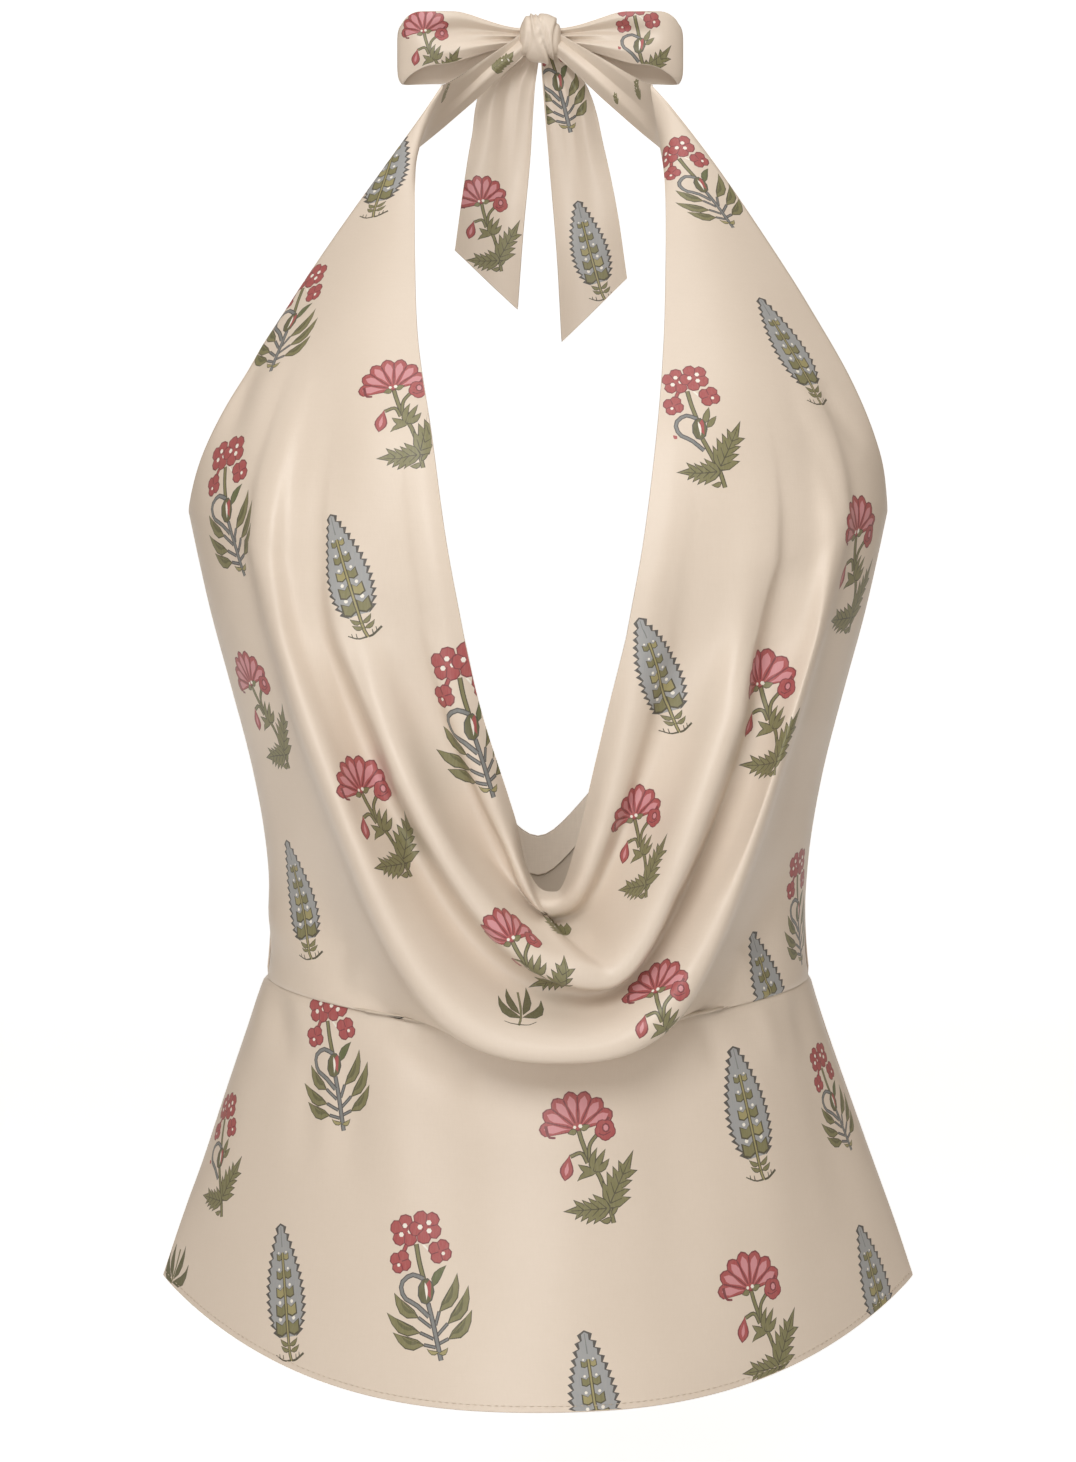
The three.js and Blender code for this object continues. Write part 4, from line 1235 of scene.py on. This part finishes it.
class Shader:
    """A material's node tree, filled by one call for each node."""

    def __init__(self, name):
        self.material = bpy.data.materials.new(name)
        self.material.use_nodes = True
        self.tree = self.material.node_tree
        self.tree.nodes.clear()

    def node(self, kind, settings=None, values=None, output=0):
        node = self.tree.nodes.new(kind)
        for key, value in (settings or {}).items():
            setattr(node, key, value)
        for key, value in (values or {}).items():
            if isinstance(value, Value):
                self.tree.links.new(value.socket, node.inputs[key])
            else:
                node.inputs[key].default_value = value
        return Value(self.tree, node.outputs[output])

    def noise(self, where, scale, detail=2.0, rough=0.5):
        return self.node("ShaderNodeTexNoise", None, {
            "Vector": where, "Scale": scale, "Detail": detail, "Roughness": rough,
        })

    def blend(self, share, start, end):
        return self.node("ShaderNodeMix", {"data_type": "RGBA"}, {0: share, 6: start, 7: end}, 2)

    def finish(self, values):
        surface = self.node("ShaderNodeBsdfPrincipled", None, values)
        self.node_output(surface)
        return self.material

    def node_output(self, surface):
        output = self.tree.nodes.new("ShaderNodeOutputMaterial")
        self.tree.links.new(surface.socket, output.inputs["Surface"])


def satin(name, colour, shade, printed, settings):
    """Satin cloth: fine warp threads, faint slubs and uneven dye, with the print's ink on top."""
    shader = Shader(name)
    where = shader.node("ShaderNodeTexCoord", output=3)
    patches = shader.noise(where, 14.0, 3.0)
    stretched = shader.node("ShaderNodeMapping", None, {"Vector": where, "Scale": (1400.0, 1400.0, 130.0)})
    threads = shader.noise(stretched, 1.0, 2.0)
    crossed = shader.node("ShaderNodeMapping", None, {"Vector": where, "Scale": (160.0, 160.0, 1500.0)})
    slubs = shader.noise(crossed, 1.0, 1.0)
    tone = patches * 0.5 + threads * 0.3 + slubs * 0.2
    base = shader.blend(tone, (*shade, 1), (*colour, 1))
    if printed:
        ink = shader.node("ShaderNodeVertexColor", {"layer_name": "print"})
        amount = Value(shader.tree, ink.socket.node.outputs["Alpha"])
        worn = amount * (0.82 + threads * 0.18)
        base = shader.blend(worn, base, ink)
    height = threads * 0.6 + slubs * 0.4
    bump = shader.node("ShaderNodeBump", None, {
        "Height": height, "Strength": settings.weave_strength, "Distance": 0.0002,
    })
    rough = settings.roughness - 0.05 + patches * 0.1
    return shader.finish({
        "Base Color": base, "Roughness": rough, "Normal": bump, "Specular IOR Level": 0.4,
        "Sheen Weight": settings.sheen, "Sheen Roughness": 0.35, "Sheen Tint": (1, 0.95, 0.88, 1),
    })


def plain_white(name, glow):
    return Shader(name).finish({
        "Base Color": (0.93, 0.93, 0.93, 1), "Roughness": 0.9,
        "Emission Color": (0.93, 0.965, 1, 1), "Emission Strength": glow,
    })


class HalterClothSettings(bpy.types.PropertyGroup):
    """Looks and fineness of the cloth."""

    colour: FloatVectorProperty(
        name="Satin", description="Main colour of the satin", subtype="COLOR", default=(0.7, 0.61, 0.52))
    shade: FloatVectorProperty(
        name="Satin shade", description="Darker dye of the satin", subtype="COLOR", default=(0.63, 0.54, 0.445))
    thread: FloatVectorProperty(
        name="Thread", description="Colour of the sewing thread", subtype="COLOR", default=(0.56, 0.47, 0.37))
    # The inner face's colour is darker than the satin's face, partly as the dull wrong side of the cloth and partly
    # as painted shade inside the garment.
    inside: FloatVectorProperty(
        name="Inside", description="Colour of the cloth's dull inner face", subtype="COLOR",
        default=(0.56, 0.48, 0.39))
    # The facing's colour is far lighter than the satin it is cut from: painted light on the turned edge, which sits
    # in shade inside the neck.
    turned: FloatVectorProperty(
        name="Facing", description="Colour of the turned edge inside the neck", subtype="COLOR",
        default=(0.9, 0.8, 0.68))
    roughness: FloatProperty(name="Roughness", description="Roughness of the satin", default=0.42)
    sheen: FloatProperty(name="Sheen", description="Soft sheen of the satin", default=0.06)
    weave_strength: FloatProperty(name="Weave", description="Strength of the weave's bump", default=0.25)
    strap_columns: IntProperty(name="Strap columns", description="Steps along each strap", default=72)
    seam_columns: IntProperty(name="Seam columns", description="Steps along half of the cowl", default=76)
    rows_per_fold: IntProperty(name="Rows per fold", description="Rows between two cowl lines", default=5)
    peplum_columns: IntProperty(name="Peplum columns", description="Steps across half a peplum", default=52)
    peplum_rows: IntProperty(name="Peplum rows", description="Steps down a peplum", default=48)


class HalterLightSettings(bpy.types.PropertyGroup):
    """Light and floor."""

    key: FloatProperty(name="Key", description="Power of the main light", subtype="POWER", default=39)
    fill: FloatProperty(name="Fill", description="Power of the fill light", subtype="POWER", default=11)
    top: FloatProperty(name="Top", description="Power of the top light", subtype="POWER", default=11)
    sky: FloatProperty(name="Sky", description="Strength of the light all round", default=0.3)
    floor_z: FloatProperty(name="Floor", description="Height of the floor", unit="LENGTH", default=-0.72)


def satin_pair():
    settings = bpy.context.scene.halter_cloth
    if "printed_satin" not in bpy.data.materials:
        satin("printed_satin", settings.colour, settings.shade, True, settings)
        # The inner faces get the darker inside colour: the dull wrong side of the satin, and painted shade.
        satin("dull_and_shaded_satin", settings.inside, settings.inside, False, settings)
        # The facing's satin is a lighter copy of the printed satin: painted light.
        satin("facing_satin_painted_light", settings.turned, settings.shade, False, settings)
    return bpy.data.materials["printed_satin"], bpy.data.materials["dull_and_shaded_satin"]


def photo_finder(x, y):
    return lambda surface: seen_place(surface, x, y)


def flat_finder(x, z, facing):
    return lambda surface: flat_place(surface, x, z, facing)


def photo_prints(table):
    return [(kind, photo_finder(x, y), lean, height) for kind, x, y, lean, height in table]


def flat_prints(table, facing):
    return [(kind, flat_finder(x, z, facing), lean, height) for kind, x, z, lean, height in table]


def stitch_line(name, surface, rows, columns, material):
    """A row of small stitches over a piece's outer face, along places counted in rows and columns."""
    places = np.stack([np.asarray(rows, float), np.asarray(columns, float)], -1)
    line = surface.read(surface.grid, places)
    normals = surface.read(surface.normals, places)
    run = np.concatenate([[0], np.cumsum(np.linalg.norm(np.diff(line, axis=0), axis=1))])
    middles = np.arange(STITCH_PITCH, run[-1] - STITCH_PITCH, STITCH_PITCH)
    shell = Shell()

    def at(values, where):
        return np.stack([np.interp(where, run, values[:, k]) for k in range(3)], -1)

    here = at(line, middles)
    along = at(line, middles + 0.5) - at(line, middles - 0.5)
    along /= np.linalg.norm(along, axis=1, keepdims=True)
    up = at(normals, middles)
    up /= np.linalg.norm(up, axis=1, keepdims=True)
    side = np.cross(up, along)
    half = STITCH_LENGTH / 2
    corners = [
        here - along * half + up * 0.05, here + along * half + up * 0.05,
        here + side * STITCH_THICK, here + up * 2 * STITCH_THICK, here - side * STITCH_THICK, here - up * 0.05,
    ]
    directions = [-along, along, side, up, -side, -up]
    starts = [shell.add_points(points, normal) for points, normal in zip(corners, directions)]
    number = np.arange(len(middles))
    for a, b in ((2, 3), (3, 4), (4, 5), (5, 2)):
        shell.add_faces(np.stack([starts[1] + number, starts[b] + number, starts[a] + number], -1)[:, ::-1],
                        np.full(len(number), -1), 0)
        shell.add_faces(np.stack([starts[0] + number, starts[a] + number, starts[b] + number], -1)[:, ::-1],
                        np.full(len(number), -1), 0)
    return shell.build(name, [material])


def thread():
    if "thread" not in bpy.data.materials:
        settings = bpy.context.scene.halter_cloth
        satin("thread", settings.thread, settings.thread, False, settings)
    return bpy.data.materials["thread"]


def axis_hub(grid):
    hub = grid.copy()
    hub[..., 0] = 0
    hub[..., 1] = 0
    return hub


def front_grid(settings):
    strap = np.linspace(0, STRAP_SHARE, settings.strap_columns + 1)
    seam = np.linspace(STRAP_SHARE, 1, settings.seam_columns + 1)[1:]
    run = np.concatenate([strap, seam])
    u = np.concatenate([run - 1, (1 - run[:-1])[::-1]])
    lines = np.stack([cowl_line(index, u) for index in range(len(COWL_LINES))])
    rows = (len(COWL_LINES) - 1) * settings.rows_per_fold
    mixed = through(lines, np.linspace(0, 1, rows + 1))
    x, z, share, off = np.moveaxis(mixed, -1, 0)
    return np.stack([x, plain_depth(1 - np.abs(u), share, x, z) + off, z], -1)


class HALTER_OT_front(bpy.types.Operator):
    """Make the front with its cowl and straps"""

    bl_idname = "halter.front"
    bl_label = "Front"

    def execute(self, context):
        smooth = front_grid(context.scene.halter_cloth)
        grid = creased(smooth, axis_hub(smooth), FRONT_CREASES, True)
        grid = dipped(overlapped(grid, OVERLAP, 4.5, 9, 2.5), axis_hub(smooth), -1)
        piece = make_cloth("front", grid, axis_hub(grid), satin_pair(), photo_prints(FRONT_PRINT), smooth=smooth)
        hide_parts("front_bodice")
        return {"FINISHED"}


class HALTER_OT_back(bpy.types.Operator):
    """Make the back and the facing inside its neckline"""

    bl_idname = "halter.back"
    bl_label = "Back"

    def execute(self, context):
        shares = waist_shares(48)
        smooth = back_grid(shares, np.linspace(0, 1, 61))
        grid = dipped(creased(smooth, axis_hub(smooth), BACK_CREASES, False), axis_hub(smooth), -1)
        piece = make_cloth("back", grid, axis_hub(grid), satin_pair(), flat_prints(BACK_PRINT, 1), smooth=smooth)
        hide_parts("back_bodice")
        line = np.linspace(0, len(shares) - 1, 2 * len(shares))
        drop = np.interp(line, np.arange(len(shares)), smooth[0, :, 2] - smooth[-1, :, 2])
        surface = Surface(grid, normals_of(grid, axis_hub(grid)))
        stitches = stitch_line("neck_stitches", surface, NECK_STITCH_DEPTH / drop * (len(grid) - 1), line, thread())
        facing = self.facing(shares[1:-1])
        # The facing's finish is the lighter copy of the satin, with painted light in its colour.
        turned = bpy.data.materials["facing_satin_painted_light"]
        facing = make_cloth("facing", facing, axis_hub(facing), (turned, turned), thickness=0.6)
        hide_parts("back_facing")
        return {"FINISHED"}

    def facing(self, shares):
        top = back_grid(shares, [0])[0]
        low = back_grid(shares, [1])[0]
        rows = []
        for row in range(7):
            depth = FACING_DROP + FACING_DEPTH * row / 6
            down = depth / (top[:, 2] - low[:, 2])
            points = np.stack([back_grid([share], [d])[0, 0] for share, d in zip(shares, down)])
            rows.append(points)
        grid = np.stack(rows)
        return grid - normals_of(grid, axis_hub(grid)) * FACING_INSET


class HALTER_OT_peplum(bpy.types.Operator):
    """Make the two halves of the peplum"""

    bl_idname = "halter.peplum"
    bl_label = "Peplum"

    def execute(self, context):
        settings = context.scene.halter_cloth
        shares = waist_shares(settings.peplum_columns)
        downs = np.linspace(0, 1, settings.peplum_rows + 1) ** PEPLUM_CROWDING
        for name, node, facing, prints, creases in (
            ("front_skirt", "front_peplum", -1, photo_prints(FRONT_PEPLUM_PRINT), FRONT_PEPLUM_CREASES),
            ("back_skirt", "back_peplum", 1, flat_prints(BACK_PEPLUM_PRINT, 1), BACK_PEPLUM_CREASES),
        ):
            smooth = peplum_grid(shares, downs, facing)
            grid = dipped(creased(smooth, axis_hub(smooth), creases, facing < 0), axis_hub(smooth), 0)
            piece = make_cloth(name, grid, axis_hub(grid), satin_pair(), prints, smooth=smooth)
            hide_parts(node)
            line = np.linspace(0, len(shares) - 1, 2 * len(shares))
            drop = np.interp(line, np.arange(len(shares)), smooth[0, :, 2] - smooth[-1, :, 2])
            surface = Surface(grid, normals_of(grid, axis_hub(grid)))
            rows = np.interp(1 - HEM_DEPTH / drop, downs, np.arange(len(downs)))
            stitches = stitch_line(f"{name}_stitches", surface, rows, line, thread())
        return {"FINISHED"}


def crisp(phase):
    """Waves with tighter crests than a sine's, for pressed pleats."""
    return np.arcsin(0.97 * np.sin(phase)) * 2 / math.pi


def tie_grid(side):
    neck_x = STRAP_EDGES["neck_left" if side < 0 else "neck_right"][0]
    arm_x = STRAP_EDGES["arm_left" if side < 0 else "arm_right"][0]
    end_x = KNOT_CENTRE[0] + side * (KNOT_HALF[0] - 2)
    share, turn = np.meshgrid(np.linspace(0, 1, 37), np.linspace(0, math.pi / 2, 61), indexing="ij")
    inset = TIE_INSET * ease(math.pi / 4, 0, turn)
    start_x = mix(neck_x, arm_x, share) + side * inset
    start_y = mix(STRAP_EDGES["neck_y"][0], STRAP_EDGES["arm_y"][0], share) + SEAM_GAP + inset
    start_z = mix(STRAP_EDGES["neck_z"][0], STRAP_EDGES["arm_z"][0], share)
    fold = 1.5 * crisp(2 * math.pi * (1.5 * share - 0.35 * turn + 0.15)) * ease(0.02, 0.5, turn)
    pinch = np.sin(math.pi * share) * 1.2 * np.sin(turn)
    return np.stack([
        mix(end_x, start_x, np.cos(turn)),
        mix(start_y, KNOT_CENTRE[1] - TIE_FORWARD - pinch, np.sin(turn)) - fold,
        mix(start_z, KNOT_CENTRE[2] - TIE_DROP + TIE_HALF_END * (2 * share - 1),
            mix(1 - np.cos(turn), np.sin(turn), TIE_ARC)),
    ], -1)


def loop_grid(side):
    tip_x = KNOT_CENTRE[0] + side * LOOP_REACH
    knot_x = KNOT_CENTRE[0] + side * (KNOT_HALF[0] - 2)
    height, around = np.meshgrid(np.linspace(-1, 1, 41), np.linspace(-1, 1, 121), indexing="ij")
    out = np.abs(around)
    near = around < 0
    top = mix(mix(LOOP_TOP["tip"], LOOP_TOP["middle"], ease(0, 0.35, out)), LOOP_TOP["knot"], ease(0.6, 1, out))
    low = np.where(near, LOOP_LOW["near"], LOOP_LOW["far"])
    low = mix(mix(LOOP_LOW["tip"], low, ease(0, 0.5, out)), LOOP_LOW["knot"], ease(0.5, 1, out))
    belly = (LOOP_BELLY + (1 - height * height) * LOOP_CROWN) * np.sin(math.pi * around)
    pleats = crisp(math.pi * (2.5 * height + 0.35 * np.sin(2 * height) + 0.3)) * (1 - 0.3 * height)
    hollow = np.exp(-((height - 0.2) / 0.4) ** 2) * ease(0.25, 0.6, out) * ease(0.96, 0.66, out)
    corner = side * 2 * np.abs(height) ** 6 * np.exp(-(out / 0.16) ** 2)
    return np.stack([
        tip_x + (knot_x - tip_x) * out ** LOOP_BEND - corner,
        KNOT_CENTRE[1] + LOOP_BACK + LOOP_END_GAP * around + belly
        + (LOOP_PLEAT * pleats * ease(0.42, 0.95, out) - LOOP_HOLLOW * hollow) * np.sign(around),
        mix(low, top, (height + 1) / 2),
    ], -1)


def tail_grid(table):
    share, place = np.meshgrid(np.linspace(0, 1, 33), np.linspace(0, 1, 81), indexing="ij")
    fold = TAIL_FOLD * (1 - TAIL_FOLD_FADE * place) * ease(0, TAIL_FOLD_FULL, place) * np.sin(2 * math.pi * share)
    fan = 1.5 * crisp(2 * math.pi * 2.2 * share + 1) * (1 - ease(0.08, 0.6, place)) * ease(0, 0.06, place)
    return np.stack([
        mix(read(table, "inner", place), read(table, "outer", place), share),
        read(table, "y", place) + fold + fan,
        mix(read(table, "inner_z", place), read(table, "outer_z", place), share),
    ], -1)


class HALTER_OT_bow(bpy.types.Operator):
    """Make the ties round the neck and the bow"""

    bl_idname = "halter.bow"
    bl_label = "Bow"

    def execute(self, context):
        materials = satin_pair()
        both = (materials[0], materials[0])
        for side, name, prints in (
            (-1, "left", photo_prints((("sprig", 445, 87, 38, 15), ("sprig", 504, 60, 42, 16)))),
            (1, "right", photo_prints((("sprig", 638, 85, -38, 14), ("sprig", 616, 98, -38, 7)))),
        ):
            grid = tie_grid(side)
            hub = grid.copy()
            hub[..., 0] = 0
            hub[..., 1] = 20
            # The inner face of the tie is the one that the camera sees.
            piece = make_cloth(f"neck_run_{name}", grid, hub, both, (), prints, TIE_CLOTH)
            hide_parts(f"neck_tie_{name}")
        for side, name, prints in (
            (-1, "left", photo_prints((("fan", 432, 50, 0, 40),))),
            (1, "right", photo_prints((("lobed", 642, 42, 8, 46),))),
        ):
            grid = loop_grid(side)
            hub = grid.copy()
            hub[..., 0] = KNOT_CENTRE[0] + side * 34
            hub[..., 1] = KNOT_CENTRE[1] + LOOP_BACK
            piece = make_cloth(f"loop_{name}", grid, hub, both, prints, (), TIE_CLOTH)
            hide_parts(f"bow_loop_{name}")
        for table, name, prints in (
            (TAIL_LEFT, "left", photo_prints((("fan", 490, 222, 2, 44),))),
            (TAIL_RIGHT, "right", photo_prints((("leaf", 590, 252, -6, 46), ("slender", 560, 78, 0, 50)))),
        ):
            grid = tail_grid(table)
            hub = grid.copy()
            hub[..., 1] = 200
            piece = make_cloth(f"tail_{name}", grid, hub, both, prints, (), TIE_CLOTH)
            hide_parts(f"bow_tail_{name}")
        self.knot(materials[0])
        return {"FINISHED"}

    def knot(self, material):
        """The knot: a rounded wrap with soft grooves where the cloth crosses itself."""
        power = 2 / KNOT_SQUARE
        rings, steps = 40, 64
        tilt, turn = np.meshgrid(
            np.linspace(0, math.pi, rings + 1), np.linspace(0, 2 * math.pi, steps, endpoint=False), indexing="ij")

        def bend(value):
            return np.sign(value) * np.abs(value) ** power

        unit = np.stack([
            bend(np.sin(tilt)) * bend(np.cos(turn)), bend(np.sin(tilt)) * bend(np.sin(turn)), bend(np.cos(tilt)),
        ], -1)
        high = unit[..., 2]
        across = unit[..., 0]
        groove = np.zeros_like(high)
        for start, slope, bow, depth in KNOT_GROOVES:
            offset = across - start + slope * high + bow * high * high
            groove += depth * np.exp(-(offset / 0.07) ** 2) - 0.5 * depth * np.exp(-((offset + 0.16) / 0.12) ** 2)
        grid = np.array(KNOT_CENTRE) + unit * np.array(KNOT_HALF) * (1.0 - groove)[..., None]
        shell = Shell()
        normals = unit / np.maximum(np.linalg.norm(unit, axis=-1, keepdims=True), 1e-9)
        closed_grid = np.concatenate([grid, grid[:, :1]], 1)
        over = np.gradient(closed_grid, axis=0)[:, :-1]
        wrapped = np.concatenate([grid[:, -1:], grid, grid[:, :1]], 1)
        along = (wrapped[:, 2:] - wrapped[:, :-2]) / 2
        cross = np.cross(along, over)
        cross *= np.sign(np.sum(cross * normals, -1, keepdims=True))
        size = np.linalg.norm(cross, axis=-1, keepdims=True)
        normals = np.where(size > 1e-6, cross / np.maximum(size, 1e-9), normals)
        start = shell.add_points(grid[1:-1], normals[1:-1])
        top = shell.add_points(grid[0, :1], np.array([[0.0, 0, 1]]))
        low = shell.add_points(grid[-1, :1], np.array([[0.0, 0, -1]]))
        faces = []
        for step in range(steps):
            after = (step + 1) % steps
            faces.append((top, start + step, start + after))
            end = start + (rings - 2) * steps
            faces.append((low, end + after, end + step))
            for ring in range(rings - 2):
                a = start + ring * steps
                b = a + steps
                faces.append((a + step, b + step, b + after))
                faces.append((a + step, b + after, a + after))
        shell.add_faces(faces, np.full(len(faces), -1), 0)
        piece = shell.build("knot", [material])
        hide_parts("bow_knot")


class HALTER_OT_stage(bpy.types.Operator):
    """Make the floor, backdrop, lights and camera"""

    bl_idname = "halter.stage"
    bl_label = "Stage"

    def execute(self, context):
        scene = context.scene
        settings = scene.halter_light
        self.backdrop(settings.floor_z)
        self.light("key", (-0.35, -2.5, 1.15), 1.3, settings.key)
        self.light("fill", (-0.45, -2.4, -0.4), 1.2, settings.fill)
        self.light("top", (0.1, -0.5, 1.5), 1.4, settings.top)
        world = bpy.data.worlds.new("studio")
        world.use_nodes = True
        background = world.node_tree.nodes["Background"]
        background.inputs["Color"].default_value = (1, 0.85, 0.69, 1)
        background.inputs["Strength"].default_value = settings.sky
        scene.world = world
        camera = bpy.data.cameras.new("camera")
        camera.sensor_fit = "VERTICAL"
        camera.sensor_height = SENSOR
        camera.lens = CAMERA_LENS
        camera.clip_end = 50
        holder = bpy.data.objects.new("camera", camera)
        holder.location = CAMERA_PLACE
        direction = Vector(CAMERA_TARGET) - Vector(CAMERA_PLACE)
        holder.rotation_euler = direction.to_track_quat("-Z", "Y").to_euler()
        scene.collection.objects.link(holder)
        scene.camera = holder
        scene.view_settings.view_transform = "Standard"
        return {"FINISHED"}

    def light(self, name, place, size, power):
        data = bpy.data.lights.new(name, "AREA")
        data.shape = "DISK"
        data.size = size
        data.energy = power
        lamp = bpy.data.objects.new(name, data)
        lamp.location = place
        direction = Vector((0, -0.08, -0.3)) - Vector(place)
        lamp.rotation_euler = direction.to_track_quat("-Z", "Y").to_euler()
        bpy.context.scene.collection.objects.link(lamp)

    def backdrop(self, floor_z):
        points = []
        faces = []
        profile = [(-4, 0), (0.2, 0), (2.6, 0)]
        for step in range(1, 13):
            turn = math.pi / 2 * step / 12
            profile.append((2.6 + 1.2 * math.sin(turn), 1.2 * (1 - math.cos(turn))))
        profile.append((3.8, 1.7))
        for y, z in profile:
            points.extend([(-BACKDROP_HALF, y, floor_z + z), (BACKDROP_HALF, y, floor_z + z)])
        for step in range(len(profile) - 1):
            a = 2 * step
            faces.append((a, a + 1, a + 3, a + 2))
        mesh = bpy.data.meshes.new("floor")
        mesh.from_pydata(points, [], faces)
        mesh.polygons.foreach_set("use_smooth", [True] * len(faces))
        mesh.materials.append(plain_white("floor_white", 0))
        mesh.materials.append(plain_white("wall_white", WALL_GLOW))
        mesh.polygons.foreach_set("material_index", [0] + [1] * (len(faces) - 1))
        floor = bpy.data.objects.new("floor", mesh)
        bpy.context.scene.collection.objects.link(floor)


class HALTER_PT_panel(bpy.types.Panel):
    """The top's settings and steps"""

    bl_label = "Halter neck top"
    bl_idname = "HALTER_PT_panel"
    bl_space_type = "VIEW_3D"
    bl_region_type = "UI"
    bl_category = "Halter top"

    def draw(self, context):
        for group in (context.scene.halter_cloth, context.scene.halter_light):
            box = self.layout.box()
            for name in group.__annotations__:
                box.prop(group, name)
        for operator in OPERATORS:
            self.layout.operator(operator.bl_idname)


OPERATORS = (HALTER_OT_stage, HALTER_OT_front, HALTER_OT_back, HALTER_OT_peplum, HALTER_OT_bow)
CLASSES = (HalterClothSettings, HalterLightSettings, *OPERATORS, HALTER_PT_panel)


def register():
    for item in CLASSES:
        bpy.utils.register_class(item)
    bpy.types.Scene.halter_cloth = PointerProperty(type=HalterClothSettings)
    bpy.types.Scene.halter_light = PointerProperty(type=HalterLightSettings)


def unregister():
    del bpy.types.Scene.halter_light
    del bpy.types.Scene.halter_cloth
    for item in reversed(CLASSES):
        bpy.utils.unregister_class(item)


def main():
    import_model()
    register()
    bpy.ops.halter.stage()
    bpy.ops.halter.front()
    bpy.ops.halter.back()
    bpy.ops.halter.peplum()
    bpy.ops.halter.bow()


if __name__ == "__main__":
    main()
